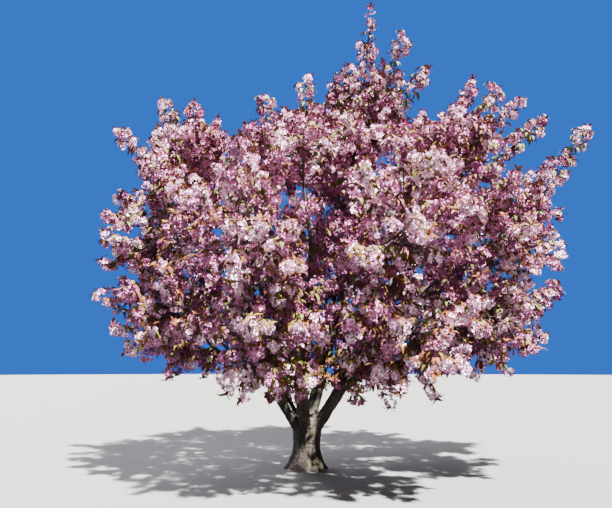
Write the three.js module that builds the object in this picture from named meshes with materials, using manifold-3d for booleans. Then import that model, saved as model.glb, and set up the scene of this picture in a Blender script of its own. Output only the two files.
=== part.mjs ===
// A double-flowered cherry tree in full blossom, in millimetres with +Z up.
// The origin is the middle of the flat cut under the trunk, and the ground is z = 0.
// Bearings are degrees round the trunk: 0 is the viewer's right, 90 is away, 270 is towards the viewer.
// A short trunk forks low into boughs, and each bough or branch ends where it enters one mass of
// blossom. A mass is a stem, the shoots that leave it, and the sprays of blossom that clothe them.

import * as THREE from "three";
import { mergeVertices } from "three/addons/utils/BufferGeometryUtils.js";
import Module from "manifold-3d";

const wasm = await Module();
wasm.setup();

// Clear gap between pieces that meet, and half the gap between two masses.
const SEAT_GAP = 0.3;
const SPACE_EDGE = 6;
// Room kept between a limb and the twigs and sprays of every mass.
const LIMB_CLEAR = 8;
const GOLDEN_ANGLE = Math.PI * (3 - Math.sqrt(5));
const GOLDEN_SHARE = 0.618;

// The trunk, from its cut to the crotch where the boughs leave.
const TRUNK = {
  height: 860,
  foot: 222,
  waist: 195,
  crotch: 240,
  flare: 150,
  flareHeight: 190,
  roots: 6,
  boughsLeave: 0.74,
  lean: new THREE.Vector2(45, -25),
  sides: 18,
  rings: 9,
};

// The main boughs stand round the crotch: how far from its middle they leave, and how they lean there.
const BOUGHS = { spread: 140, root: 84, tip: 26, lean: 0.72, middleSpread: 52, middleLean: 0.2 };
// A branch is this share of its bough's thickness where it leaves.
const BRANCH = { share: 0.72, tip: 20, spread: 0.05, turnOff: 0.55 };
// A limb keeps its first way and its last way for these shares of its span, and has a collar at its root.
const LIMB = { leaving: 0.36, arriving: 0.3, taper: 0.85, collar: 0.22, collarFade: 22 };
// How much a limb turns up towards its tip, and how far it sways off its line, as shares of its span.
const LIFT = { bough: 0.75, branch: 0.3 };
const SWAY = 0.07;
const LIMB_SIDES = 7;
const LIMB_RINGS = 5;

// Rings of masses round the crown's axis: how many, how far out and how high their middles stand, the
// bearing of the first, how far each reaches, and where on its bough the branch to it leaves.
const CROWN_AXIS = 380;
const CROWN_DEPTH = 0.87;
const CROWN_RISE_TO_BACK = 260;
const RINGS = {
  crest: { count: 2, out: 640, up: 5450, first: 10, reach: 1120, shoots: 5, fan: 85 },
  upper: { count: 6, out: 2150, up: 4930, first: 20, reach: 1300, shoots: 6, fan: 95 },
  shoulder: { count: 9, out: 3000, up: 3740, first: 10, reach: 1120, shoots: 6, fan: 100, leaves: 0.44 },
  skirt: { count: 8, out: 2480, up: 2480, first: 22.5, reach: 1060, shoots: 5, fan: 92, leaves: 0.2 },
  heart: { count: 3, out: 1050, up: 3600, first: 50, reach: 950, shoots: 4, fan: 110, leaves: 0.45 },
};
const SHIFT_OF_MIDDLES = 130;

// Where a bough ends, as a share of its mass's reach short of the middle.
const ENTRY = 0.62;

// The stem of a mass runs this share of the reach past its middle. Its shoots leave it from the first
// share of its length to the last, and fan out about the way that leads out of the crown.
const CROWN_HEART = new THREE.Vector3(CROWN_AXIS, 0, 2400);
const TWIG_SIDES = 3;
const STEM = { past: 0.22, firstShoot: 0.3, lastShoot: 0.98 };
// A shoot sags by a share of its length, and carries a spray at its tip and one for each step back.
const SHOOT = { root: 18, sag: 0.16, step: 330, most: 7 };

// A spray of blossom is a plump blade of eight faces. Past its root share it keeps clear of the next
// one by a share of their widths, and where the full size doesn't fit a smaller one is tried.
const SPRAY = { long: 700, wide: 460, thick: 370, lean: 0.75, widest: 0.54, apart: 0.7, rootShare: 0.35 };
const SPRAY_SIZES = [1, 0.8, 0.62];

// The leading shoots make the skyline and the furthest tips: where each one ends.
const LEADERS = [
  [-3500, -400, 5850], [-2700, -400, 6450], [-1960, -1000, 6100], [-1440, -1500, 5370],
  [-750, -800, 6350], [80, -600, 6850], [700, -300, 7150], [1260, -600, 8350],
  [1860, -750, 7600], [2200, -1000, 6740], [3200, -300, 7000], [3340, -1000, 6370],
  [4100, -300, 6600], [4130, -1000, 5710], [5300, -300, 6030], [4420, -600, 4240],
  [4230, -600, 2920], [3870, -600, 2040], [-3460, -600, 2840], [-3520, -600, 3840],
  [-2900, -600, 1800], [300, 3550, 5300], [-1600, 3100, 5500], [2200, 3250, 5600],
  [-300, 1400, 7250], [1600, 1500, 7400],
].map((tip) => new THREE.Vector3(...tip));

const BARK = new THREE.MeshStandardMaterial({ color: 0x3b2d28, roughness: 0.95, metalness: 0 });
const PINKS = [0xf0b9c8, 0xe7a3b8, 0xf5cbd5].map(
  (color) => new THREE.MeshStandardMaterial({ color, roughness: 0.9, metalness: 0 }),
);

// Even random numbers from 0 to 1, the same every time for one seed.
function draws(seed) {
  let state = (seed * 7919 + 12345) % 2147483647;
  return () => {
    state = (state * 16807) % 2147483647;
    return state / 2147483647;
  };
}

// The way that a bearing and a rise above level point.
function heading(bearing, rise) {
  const turn = THREE.MathUtils.degToRad(bearing);
  const level = Math.cos(rise);
  return new THREE.Vector3(level * Math.cos(turn), level * Math.sin(turn), Math.sin(rise));
}

// Closed solid from a three.js geometry, with the vertices along its seams joined.
function solid(geometry) {
  const bare = geometry.clone();
  bare.deleteAttribute("normal");
  bare.deleteAttribute("uv");
  const joined = mergeVertices(bare, 0.001);
  const mesh = new wasm.Mesh({
    numProp: 3,
    vertProperties: new Float32Array(joined.attributes.position.array),
    triVerts: new Uint32Array(joined.index.array),
  });
  return new wasm.Manifold(mesh);
}

// three.js geometry from a solid, with flat faces.
function geometryOf(body) {
  const mesh = body.getMesh();
  const shape = new THREE.BufferGeometry();
  shape.setAttribute("position", new THREE.BufferAttribute(mesh.vertProperties, 3));
  shape.setIndex(new THREE.BufferAttribute(mesh.triVerts, 1));
  shape.computeVertexNormals();
  return shape;
}

// The largest of the pieces that a cut leaves, without the loose scraps.
function largest(body) {
  const pieces = body.decompose();
  return pieces.reduce((best, piece) => (piece.volume() > best.volume() ? piece : best));
}

// Closed tube along a curve: a capped cylinder whose rings are carried along it, at radiusAt(share) of
// its length, or a cone so carried, which runs out to a point.
function tube(curve, radiusAt, sides, rings, pointed = false) {
  const shape = new THREE.CylinderGeometry(pointed ? 0 : 1, 1, 1, sides, rings);
  const frames = curve.computeFrenetFrames(rings, false);
  const middles = curve.getSpacedPoints(rings);
  const at = shape.attributes.position;
  const point = new THREE.Vector3();
  for (let i = 0; i < at.count; i += 1) {
    const ring = Math.round((at.getY(i) + 0.5) * rings);
    const radius = radiusAt(ring / rings);
    point.copy(middles[ring]);
    point.addScaledVector(frames.binormals[ring], at.getX(i) * radius);
    point.addScaledVector(frames.normals[ring], at.getZ(i) * radius);
    at.setXYZ(i, ...hundredths(point));
  }
  return shape;
}

// A point rounded to hundredths of a millimetre, so that vertices on a seam fall together.
function hundredths(point) {
  return point.toArray().map((value) => Math.round(value * 100) / 100);
}

// The trunk's middle at a height: upright at the foot, leaning more towards the crotch.
function trunkMiddle(height) {
  const share = height / TRUNK.height;
  return new THREE.Vector3(TRUNK.lean.x * share ** 2, TRUNK.lean.y * share ** 2, height);
}

// The trunk's radius at a height and bearing: root flare with lobes, waist, swell at the crotch, dome.
function trunkRadius(height, bearing) {
  const share = height / TRUNK.height;
  const swell = (TRUNK.crotch - TRUNK.waist) * THREE.MathUtils.smoothstep(share, 0.3, 0.8);
  const taper = (TRUNK.foot - TRUNK.waist) * (1 - THREE.MathUtils.smoothstep(share, 0, 0.45));
  const lobe = 0.62 + 0.38 * Math.cos(TRUNK.roots * bearing + 0.8 * Math.sin(bearing));
  const flare = TRUNK.flare * Math.exp(-height / TRUNK.flareHeight) * lobe;
  const dome = Math.sqrt(Math.max(0, 1 - THREE.MathUtils.clamp((share - 0.8) / 0.22, 0, 1) ** 2));
  return (TRUNK.waist + swell + taper + flare) * dome;
}

// The trunk is a capped cylinder carried up its middle line, from the flat cut to the domed crotch.
function trunkGeometry(grown = 0) {
  const { sides, rings } = TRUNK;
  const shape = new THREE.CylinderGeometry(1, 1, 1, sides, rings);
  const at = shape.attributes.position;
  const point = new THREE.Vector3();
  for (let i = 0; i < at.count; i += 1) {
    const height = (at.getY(i) + 0.5) * TRUNK.height;
    const bearing = Math.atan2(-at.getZ(i), at.getX(i));
    const radius = trunkRadius(height, bearing) + grown;
    point.copy(trunkMiddle(height));
    if (height === TRUNK.height) point.z += grown;
    point.x += at.getX(i) * radius;
    point.y -= at.getZ(i) * radius;
    at.setXYZ(i, ...hundredths(point));
  }
  return shape;
}

// The masses' middles, ring by ring, each a little off its place.
function layOutMasses() {
  const masses = [];
  for (const [ring, sizes] of Object.entries(RINGS)) {
    for (let k = 0; k < sizes.count; k += 1) {
      const random = draws(masses.length + 1);
      const bearing = sizes.first + (360 / sizes.count) * k;
      const way = heading(bearing, 0);
      const middle = new THREE.Vector3(
        CROWN_AXIS + sizes.out * way.x,
        sizes.out * CROWN_DEPTH * way.y,
        sizes.up + CROWN_RISE_TO_BACK * way.y,
      );
      middle.x += SHIFT_OF_MIDDLES * (2 * random() - 1);
      middle.y += SHIFT_OF_MIDDLES * (2 * random() - 1);
      middle.z += SHIFT_OF_MIDDLES * (2 * random() - 1);
      masses.push({ ring, number: k + 1, bearing, middle, random, sizes, leaders: [] });
    }
  }
  return masses;
}

// How far a point lies inside the space of a mass: the points nearer to its middle than to another's.
function roomInside(point, mass, masses) {
  let room = Infinity;
  for (const other of masses) {
    if (other !== mass) {
      const way = other.middle.clone().sub(mass.middle);
      const half = other.middle.clone().add(mass.middle).multiplyScalar(0.5);
      room = Math.min(room, half.sub(point).dot(way.normalize()));
    }
  }
  return room;
}

// How far one can go from the middle of a mass along a way and stay in its space.
function roomAlong(way, mass, masses) {
  let room = Infinity;
  for (const other of masses) {
    if (other !== mass) {
      const step = other.middle.clone().sub(mass.middle);
      const speed = way.dot(step) / step.length();
      if (speed > 0) room = Math.min(room, (step.length() / 2 - SPACE_EDGE) / speed);
    }
  }
  return room;
}

// A limb's curve: it leaves its root one way, sways off its line and comes to its tip another way.
function limbCurve(root, leave, tip, arrive, random) {
  const span = tip.distanceTo(root);
  const [side, other] = sidesOf(tip.clone().sub(root).normalize());
  const sway = () => SWAY * span * (2 * random() - 1);
  return new THREE.CubicBezierCurve3(
    root,
    root.clone().addScaledVector(leave, span * LIMB.leaving).addScaledVector(side, sway()),
    tip.clone().addScaledVector(arrive, -span * LIMB.arriving).addScaledVector(other, sway()),
    tip,
  );
}

// A limb tapers evenly from root to tip, with a short collar at its root.
function limb(name, curve, root, tip) {
  const radiusAt = (share) => {
    const collar = root * LIMB.collar * Math.exp(-share * LIMB.collarFade);
    return tip + (root - tip) * (1 - share) ** LIMB.taper + collar;
  };
  return { name, curve, radiusAt };
}

// Boughs from the crotch to the crest and the upper masses, then branches from them to the others.
function layOutLimbs(masses) {
  const limbs = [];
  const crotch = trunkMiddle(TRUNK.height * TRUNK.boughsLeave);
  for (const mass of masses.filter(({ sizes }) => !sizes.leaves)) {
    const { ring, number, bearing, middle, random } = mass;
    const central = ring === "crest";
    const spread = central ? BOUGHS.middleSpread : BOUGHS.spread;
    const root = crotch.clone().addScaledVector(heading(bearing, 0), spread);
    const leave = heading(bearing, Math.PI / 2 - (central ? BOUGHS.middleLean : BOUGHS.lean));
    const arrive = arrival(root, middle, LIFT.bough);
    const tip = middle.clone().addScaledVector(arrive, -ENTRY * mass.sizes.reach);
    const name = central ? `bough_middle_${number}` : `bough_${number}`;
    mass.limb = limb(name, limbCurve(root, leave, tip, arrive, random), BOUGHS.root, BOUGHS.tip);
    limbs.push(mass.limb);
  }
  const boughs = [...limbs];
  for (const mass of masses.filter(({ sizes }) => sizes.leaves)) {
    const { ring, number, middle, random } = mass;
    const parent = carrierOf(mass, boughs);
    const share = mass.sizes.leaves + BRANCH.spread * (2 * random() - 1);
    const root = parent.curve.getPointAt(share);
    const arrive = arrival(root, middle, LIFT.branch);
    const leave = parent.curve.getTangentAt(share).lerp(arrive, BRANCH.turnOff).normalize();
    const tip = middle.clone().addScaledVector(arrive, -ENTRY * mass.sizes.reach);
    const thick = parent.radiusAt(share) * BRANCH.share;
    const curve = limbCurve(root, leave, tip, arrive, random);
    mass.limb = limb(`branch_${ring}_${number}`, curve, thick, BRANCH.tip);
    limbs.push(mass.limb);
  }
  return limbs;
}

// The way that a limb from here comes to a mass: straight on, but turned up.
function arrival(root, middle, lift) {
  const way = middle.clone().sub(root).normalize();
  way.z += lift;
  return way.normalize();
}

// The bough that carries a mass: a middle one for the heart, else the one nearest in bearing.
function carrierOf(mass, boughs) {
  const middles = RINGS.crest.count;
  if (mass.ring === "heart") return boughs[mass.number % middles];
  const way = new THREE.Vector3(mass.middle.x - CROWN_AXIS, mass.middle.y, 0).normalize();
  const along = (bough) => {
    const tip = bough.curve.getPointAt(1);
    return new THREE.Vector3(tip.x - CROWN_AXIS, tip.y, 0).normalize().dot(way);
  };
  return boughs.slice(middles).reduce((best, bough) => (along(bough) > along(best) ? bough : best));
}

// Short straight pieces of a limb, to measure from.
function segmentsOf({ curve, radiusAt }) {
  const steps = 12;
  const points = curve.getSpacedPoints(steps);
  return points.slice(1).map((end, i) => ({ start: points[i], end, radius: radiusAt(i / steps) }));
}

// The nearest distance between two straight pieces.
function between(a, b, c, d) {
  const ab = b.clone().sub(a);
  const cd = d.clone().sub(c);
  const ca = a.clone().sub(c);
  const [aa, bb, cross] = [ab.dot(ab), cd.dot(cd), ab.dot(cd)];
  const spread = aa * bb - cross * cross;
  const clamp = THREE.MathUtils.clamp;
  let s = spread > 1e-6 ? clamp((cross * cd.dot(ca) - bb * ab.dot(ca)) / spread, 0, 1) : 0;
  const t = clamp((cross * s + cd.dot(ca)) / bb, 0, 1);
  s = clamp((cross * t - ab.dot(ca)) / aa, 0, 1);
  return a.clone().addScaledVector(ab, s).distanceTo(c.clone().addScaledVector(cd, t));
}

// Whether a straight piece of this thickness keeps clear of every limb.
function clearOfLimbs(start, end, thick, segments) {
  return segments.every(
    (part) => between(start, end, part.start, part.end) > part.radius + thick + LIMB_CLEAR,
  );
}

// Whether every point of a shape's geometry keeps to the space of its mass.
function keepsToSpace(geometry, mass, masses) {
  const at = geometry.attributes.position;
  const point = new THREE.Vector3();
  for (let i = 0; i < at.count; i += 1) {
    point.fromBufferAttribute(at, i);
    if (roomInside(point, mass, masses) < SPACE_EDGE) return false;
  }
  return true;
}

// Two ways square to a way.
function sidesOf(way) {
  const helper = Math.abs(way.z) < 0.9 ? new THREE.Vector3(0, 0, 1) : new THREE.Vector3(1, 0, 0);
  const side = helper.clone().cross(way).normalize();
  return [side, way.clone().cross(side).normalize()];
}

// A way turned from an axis by an angle, at a turn round it.
function fannedWay(axis, angle, turn) {
  const [side, other] = sidesOf(axis);
  return axis
    .clone()
    .multiplyScalar(Math.cos(angle))
    .addScaledVector(side, Math.sin(angle) * Math.cos(turn))
    .addScaledVector(other, Math.sin(angle) * Math.sin(turn));
}

// A spray: an octahedron drawn out from its root to its tip, widest short of the middle.
function sprayGeometry(root, way, turn, size) {
  const [side, other] = sidesOf(way);
  const flat = side.clone().multiplyScalar(Math.cos(turn)).addScaledVector(other, Math.sin(turn));
  const thin = way.clone().cross(flat);
  const shape = new THREE.OctahedronGeometry(1);
  const at = shape.attributes.position;
  const point = new THREE.Vector3();
  for (let i = 0; i < at.count; i += 1) {
    const share = [0, SPRAY.widest, 1][Math.round(at.getY(i)) + 1];
    point.copy(root).addScaledVector(way, share * SPRAY.long * size);
    point.addScaledVector(flat, at.getX(i) * 0.5 * SPRAY.wide * size);
    point.addScaledVector(thin, -at.getZ(i) * 0.5 * SPRAY.thick * size);
    at.setXYZ(i, ...hundredths(point));
  }
  return shape;
}

// The stem of a mass: it starts 0.3 mm clear of its limb's tip and runs past the middle of the mass.
function stemOf(mass, axis) {
  const tip = mass.limb.curve.getPointAt(1);
  const way = mass.limb.curve.getTangentAt(1);
  const start = tip.clone().addScaledVector(way, SEAT_GAP);
  const end = mass.middle.clone().addScaledVector(axis, STEM.past * mass.sizes.reach);
  const bend = start.clone().addScaledVector(way, start.distanceTo(end) * 0.5);
  const thick = mass.limb.radiusAt(1);
  return {
    curve: new THREE.QuadraticBezierCurve3(start, bend, end),
    radiusAt: (share) => thick + (SHOOT.root - thick) * share,
  };
}

// Where the shoots of a mass end: the leading shoots, then others fanned evenly round its axis.
function shootTips(mass, axis, masses) {
  const { sizes, middle, random } = mass;
  const tips = [];
  const count = Math.max(2, sizes.shoots - Math.ceil(mass.leaders.length / 2));
  const fan = 1 - Math.cos(THREE.MathUtils.degToRad(sizes.fan));
  for (let k = 0; k < count; k += 1) {
    const angle = Math.acos(1 - ((k + 0.35) / count) * fan);
    const way = fannedWay(axis, angle, k * GOLDEN_ANGLE + mass.number);
    const wanted = sizes.reach * (0.86 + 0.24 * random());
    const reach = Math.min(wanted, roomAlong(way, mass, masses) - SPRAY.wide * 0.3);
    tips.push(middle.clone().addScaledVector(way, reach));
  }
  return [...mass.leaders, ...tips];
}

// A shoot's curve: it leaves the stem low and sweeps up to its tip.
function shootCurve(start, tip) {
  const sag = SHOOT.sag * start.distanceTo(tip);
  const bend = start.clone().lerp(tip, 0.5).add(new THREE.Vector3(0, 0, -sag));
  return new THREE.QuadraticBezierCurve3(start, bend, tip);
}

// The shoots of a mass. One that would leave its space or meet a limb is skipped.
function shootsOf(mass, stem, axis, masses, segments) {
  const shoots = [];
  shootTips(mass, axis, masses).forEach((tip, k) => {
    const along = THREE.MathUtils.lerp(STEM.firstShoot, STEM.lastShoot, (k * GOLDEN_SHARE) % 1);
    const start = stem.curve.getPointAt(along);
    const curve = shootCurve(start, tip.clone().lerp(start, 0.08));
    const twig = tube(curve, () => SHOOT.root, TWIG_SIDES, 2, true);
    const points = curve.getSpacedPoints(4);
    const clear = points.slice(1).every((end, i) => clearOfLimbs(points[i], end, SHOOT.root, segments));
    if (clear && keepsToSpace(twig, mass, masses)) {
      shoots.push({ curve, tip, twig, length: curve.getLength() });
    }
  });
  return shoots;
}

// The solids of one mass: the stem, then each shoot with a spray at its tip, then sprays back along the
// shoots by turns. A spray that would leave the space or come too near to a limb or another is skipped.
function massParts(mass, masses, segments) {
  const axis = mass.middle.clone().sub(CROWN_HEART).normalize();
  const stem = stemOf(mass, axis);
  const parts = [tube(stem.curve, stem.radiusAt, TWIG_SIDES, 3)];
  const placed = [];
  const fits = (spray) =>
    placed.every((other) => sprayGap(spray, other) > SPRAY.apart) &&
    clearOfLimbs(spray.root, spray.end, spray.half * 0.9, segments) &&
    keepsToSpace(spray.geometry, mass, masses);
  const place = (choices) => {
    const spray = choices.map((choice) => makeSpray(...choice)).find(fits);
    if (spray) placed.push(spray);
    return spray;
  };
  const shoots = shootsOf(mass, stem, axis, masses, segments).filter((shoot) => place(tipChoices(shoot)));
  for (let j = 1; j < SHOOT.most; j += 1) {
    shoots.forEach((shoot, k) => place(sideChoices(shoot, j, k)));
  }
  return [...parts, ...shoots.map(({ twig }) => twig), ...placed.map(({ geometry }) => geometry)];
}

// How near two sprays come, as a share of their widths.
function sprayGap(one, other) {
  return between(one.start, one.end, other.start, other.end) / (one.half + other.half);
}

// A spray from its root, its way, its turn about that way and its size.
function makeSpray(root, way, turn, size) {
  const end = root.clone().addScaledVector(way, SPRAY.long * size);
  const start = root.clone().lerp(end, SPRAY.rootShare);
  const geometry = sprayGeometry(root, way, turn, size);
  return { root, start, end, half: 0.5 * SPRAY.wide * size, geometry };
}

// Sprays that could end a shoot: the largest that fits is taken.
function tipChoices({ curve, tip, length }) {
  return SPRAY_SIZES.map((size) => {
    const share = THREE.MathUtils.clamp(1 - (0.86 * size * SPRAY.long) / length, 0.1, 0.95);
    const root = curve.getPointAt(share);
    return [root, tip.clone().sub(root).normalize(), length, tip.distanceTo(root) / SPRAY.long];
  });
}

// Sprays that could stand in the j-th place back from a shoot's tip, leaning out at turns round it.
function sideChoices({ curve, length }, j, k) {
  const share = 1 - (0.8 * SPRAY.long + (j - 0.35) * SHOOT.step) / length;
  if (share < 0.1) return [];
  const root = curve.getPointAt(share);
  const along = curve.getTangentAt(share);
  return SPRAY_SIZES.flatMap((size) =>
    [0, 1, 2, 3, 4].map((fifth) => {
      const turn = (j + k) * GOLDEN_ANGLE + (fifth * 2 * Math.PI) / 5;
      return [root, fannedWay(along, SPRAY.lean, turn), turn, size];
    }),
  );
}

// A named mesh.
function named(name, geometry, material) {
  const mesh = new THREE.Mesh(geometry, material);
  mesh.name = name;
  return mesh;
}

const tree = new THREE.Group();
const masses = layOutMasses();
const limbs = layOutLimbs(masses);

// Each leading shoot belongs to the mass whose space its tip lies in.
for (const tip of LEADERS) {
  masses.reduce((best, mass) =>
    mass.middle.distanceTo(tip) < best.middle.distanceTo(tip) ? mass : best,
  ).leaders.push(tip);
}

// The trunk, then each limb cut clear of the trunk and of the limbs before it.
tree.add(named("trunk", trunkGeometry(), BARK));
const cutters = [solid(trunkGeometry(SEAT_GAP))];
for (const { name, curve, radiusAt } of limbs) {
  let body = solid(tube(curve, radiusAt, LIMB_SIDES, LIMB_RINGS));
  for (const cutter of cutters) {
    body = body.subtract(cutter);
  }
  tree.add(named(name, geometryOf(largest(body)), BARK));
  cutters.push(solid(tube(curve, (share) => radiusAt(share) + 1.15 * SEAT_GAP, LIMB_SIDES, LIMB_RINGS)));
}

// Each mass is fused into one body.
const segments = limbs.flatMap(segmentsOf);
masses.forEach((mass, i) => {
  const body = massParts(mass, masses, segments).map(solid).reduce((sum, part) => sum.add(part));
  const name = `blossom_${mass.ring}_${mass.number}`;
  tree.add(named(name, geometryOf(largest(body)), PINKS[i % PINKS.length]));
});

export default tree;
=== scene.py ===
"""A flowering cherry in full double blossom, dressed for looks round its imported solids.

Metres, +Z up, in the same frame as the solids. The limbs, stems and leading shoots grow by the same
rule and the same named sizes as the solids do, and the rule is carried on here to side shoots, spurs,
blossom and young leaves.
"""

import math
from itertools import combinations

import bmesh
import bpy
import numpy as np
from bpy.props import (
    FloatProperty,
    FloatVectorProperty,
    IntProperty,
    PointerProperty,
)
from bpy.types import Operator, Panel, PropertyGroup
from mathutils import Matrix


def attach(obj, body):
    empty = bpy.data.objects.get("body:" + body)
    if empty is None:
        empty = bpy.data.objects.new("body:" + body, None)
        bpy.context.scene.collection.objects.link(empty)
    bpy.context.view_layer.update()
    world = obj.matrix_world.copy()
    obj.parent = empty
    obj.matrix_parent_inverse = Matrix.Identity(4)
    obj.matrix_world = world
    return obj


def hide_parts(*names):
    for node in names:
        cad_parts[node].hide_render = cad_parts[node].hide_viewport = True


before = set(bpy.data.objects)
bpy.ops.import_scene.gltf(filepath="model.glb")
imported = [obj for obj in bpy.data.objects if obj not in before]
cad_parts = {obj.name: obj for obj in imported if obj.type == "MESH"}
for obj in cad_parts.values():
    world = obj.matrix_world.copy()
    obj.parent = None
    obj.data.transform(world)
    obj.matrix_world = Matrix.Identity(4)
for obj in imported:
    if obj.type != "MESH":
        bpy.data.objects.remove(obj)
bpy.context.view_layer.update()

bl_info = {
    "name": "Flowering cherry",
    "version": (1, 0, 0),
    "blender": (4, 5, 0),
    "location": "3D View > Sidebar > Cherry",
    "description": "Trunk, boughs, twigs, double blossom and young leaves of a flowering cherry",
    "category": "Add Mesh",
}

BODY = "root"
GOLDEN_ANGLE = math.pi * (3 - math.sqrt(5))
GOLDEN_SHARE = 0.618
TAU = 2 * math.pi
UP = np.array([0.0, 0.0, 1.0])

# What the solids' rule uses too. A limb keeps its first and last way for these shares of its span,
# sways off its line, and turns up towards its tip. A branch leaves its bough near its own place, turned
# off it by a share.
KEEPS_FIRST_WAY, KEEPS_LAST_WAY, SWAY = 0.36, 0.3, 0.07
BOUGH_LIFT, BRANCH_LIFT = 0.75, 0.3
BRANCH_SPREAD, BRANCH_TURN_OFF = 0.05, 0.55
SPACE_EDGE = 0.006

# A mass's stem runs this share of the reach past its middle. Its shoots leave the stem from a first
# share on, over a span of shares, and sag by a share of their way. The fanned ones start part of a step
# off the axis, are this short and up to this much longer, and keep room for a spray.
STEM_PAST, FIRST_SHOOT, SHOOT_SPAN, SHOOT_SAG = 0.22, 0.3, 0.68, 0.16
FAN_START, FAN_SHORT, FAN_LONGER, SPRAY_ROOM = 0.35, 0.86, 0.24, 0.138

# The further shoots are taken out of this many ways, keep this room, and vary in length by a wave.
# Plain ones are drawn in by at most a share, and may leave their mass's space by a little.
OPEN_WAYS, OPEN_ROOM, OPEN_REACH, OPEN_VARIES, OPEN_WAVE = 240, 0.08, 0.98, 0.1, 1.3
MOST_DRAWN_IN, MAY_LEAVE = 0.6, 0.01

# How a shoot ranks, and by rank, the length at its outer end that has no side shoots and the length
# there that carries clusters itself. None carries them on this share at its root.
PLAIN, BESIDE, LEADING = 0, 1, 2
NO_SIDE_SHOOTS = (0.16, 0.4, 0.85)
FLOWERING_END = (0.85, 1.0, 1.3)
BARE_ROOT = 0.35

# The shoots that end above this height are thin and leafy.
THIN_ABOVE = 7.9

# Below this height the limbs carry flowering shoots closer together.
LOW_PART = 2.3

# A shoot's wood ends short of its tip, so that its last cluster reaches it: a leading one by a length,
# the others by a share.
TIP_CLUSTER, TIP_SHARE = 0.13, 0.08

# A leading shoot ends in a full bouquet of clusters that stand closer and further out. Under it, from
# here to here off the tip, it has only leaves.
BOUQUET_STEP, BOUQUET_SPUR = 0.5, 0.07
NECK = (0.44, 0.62)

# Three companions stand round each leading shoot: their lengths as shares s of its own. Each ends
# 0.3 (1.9 - s) off its line, so the shorter ones stand further off.
COMPANIONS, COMPANIONS_OFF, COMPANIONS_FROM = (0.68, 0.58, 0.5), 0.3, 1.9

# Hanging shoots: how far the first leans off straight down and how far each next leans more, and the
# same for their lengths as shares of the reach.
HANGING_LEAN, HANGING_REACH = (0.25, 0.11), (1.04, -0.05)

# Shoots close the crown's top between leading shoots that stand this deep behind each other, at these
# shares of the way and lower by a share of it.
DEEP, BETWEEN_PLACES, BETWEEN_SAG = 1.2, (0.5, 0.76), 0.64

# The crown's outline as half its width, depth and height round a middle at this height. Sprays that end
# within the inner share of it are inner ones.
CROWN_MIDDLE, CROWN_HALF, INNER = 3.8, np.array([4.3, 3.7, 3.5]), 0.62

# Tones are dealt out by a random draw. As painted shade it is raised for sprays inside this share and
# for those on limbs, so that the crown's inside and the limbs' shoots turn deeper. As painted light it
# is lowered by at most a share at the outline, so that the outermost sprays turn paler.
# Above the first limit a spray is pink, and above the second rose.
OUTER_TONES, PAINTED_SHADE_INSIDE, MOST_PAINTED_LIGHT, PAINTED_SHADE_ON_LIMBS, TONE_LIMITS = 0.83, 0.9, 0.06, 0.25, (0.48, 0.84)

# How far the floor reaches, how many corners its rim has, and how far it lies under the tree's foot.
FLOOR_RADIUS, FLOOR_CORNERS, FLOOR_UNDER = 130.0, 180, 0.001

# Rings of masses round the crown's axis: how many, how far out and how high their middles stand, the
# bearing of the first, how far each reaches, its shoots and how wide they fan, and where on its bough
# the branch to it leaves.
RINGS = {
    "crest": {"count": 2, "out": 0.64, "up": 5.45, "first": 10, "reach": 1.12, "shoots": 5, "fan": 85},
    "upper": {"count": 6, "out": 2.15, "up": 4.93, "first": 20, "reach": 1.3, "shoots": 6, "fan": 95},
    "shoulder": {
        "count": 9, "out": 3.0, "up": 3.74, "first": 10, "reach": 1.12, "shoots": 6, "fan": 100,
        "leaves": 0.44,
    },
    "skirt": {
        "count": 8, "out": 2.48, "up": 2.48, "first": 22.5, "reach": 1.06, "shoots": 5, "fan": 92,
        "leaves": 0.2,
    },
    "heart": {
        "count": 3, "out": 1.05, "up": 3.6, "first": 50, "reach": 0.95, "shoots": 4, "fan": 110,
        "leaves": 0.45,
    },
}

# The leading shoots make the skyline and the furthest tips: where each one ends.
LEADERS = np.array([
    [-3.5, -0.4, 5.85], [-2.7, -0.4, 6.45], [-1.96, -1.0, 6.1], [-1.44, -1.5, 5.37],
    [-0.75, -0.8, 6.35], [0.08, -0.6, 6.85], [0.7, -0.3, 7.15], [1.26, -0.6, 8.35],
    [1.86, -0.75, 7.6], [2.2, -1.0, 6.74], [3.2, -0.3, 7.0], [3.34, -1.0, 6.37],
    [4.1, -0.3, 6.6], [4.13, -1.0, 5.71], [5.3, -0.3, 6.03], [4.42, -0.6, 4.24],
    [4.23, -0.6, 2.92], [3.87, -0.6, 2.04], [-3.46, -0.6, 2.84], [-3.52, -0.6, 3.84],
    [-2.9, -0.6, 1.8], [0.3, 3.55, 5.3], [-1.6, 3.1, 5.5], [2.2, 3.25, 5.6],
    [-0.3, 1.4, 7.25], [1.6, 1.5, 7.4],
])


# The sizes and colours that a user would change.


def size(name, text, value, unit="LENGTH", **more):
    """A size with a name, a description and its default, in metres unless another unit is given."""
    return FloatProperty(name=name, description=text, default=value, unit=unit, precision=4, **more)


def share(name, text, value, **more):
    """A share or a plain factor."""
    return FloatProperty(name=name, description=text, default=value, subtype="FACTOR", **more)


def tint(name, text, value):
    """A base colour."""
    return FloatVectorProperty(
        name=name, description=text, default=value, subtype="COLOR", size=3, min=0, max=1
    )


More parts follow.
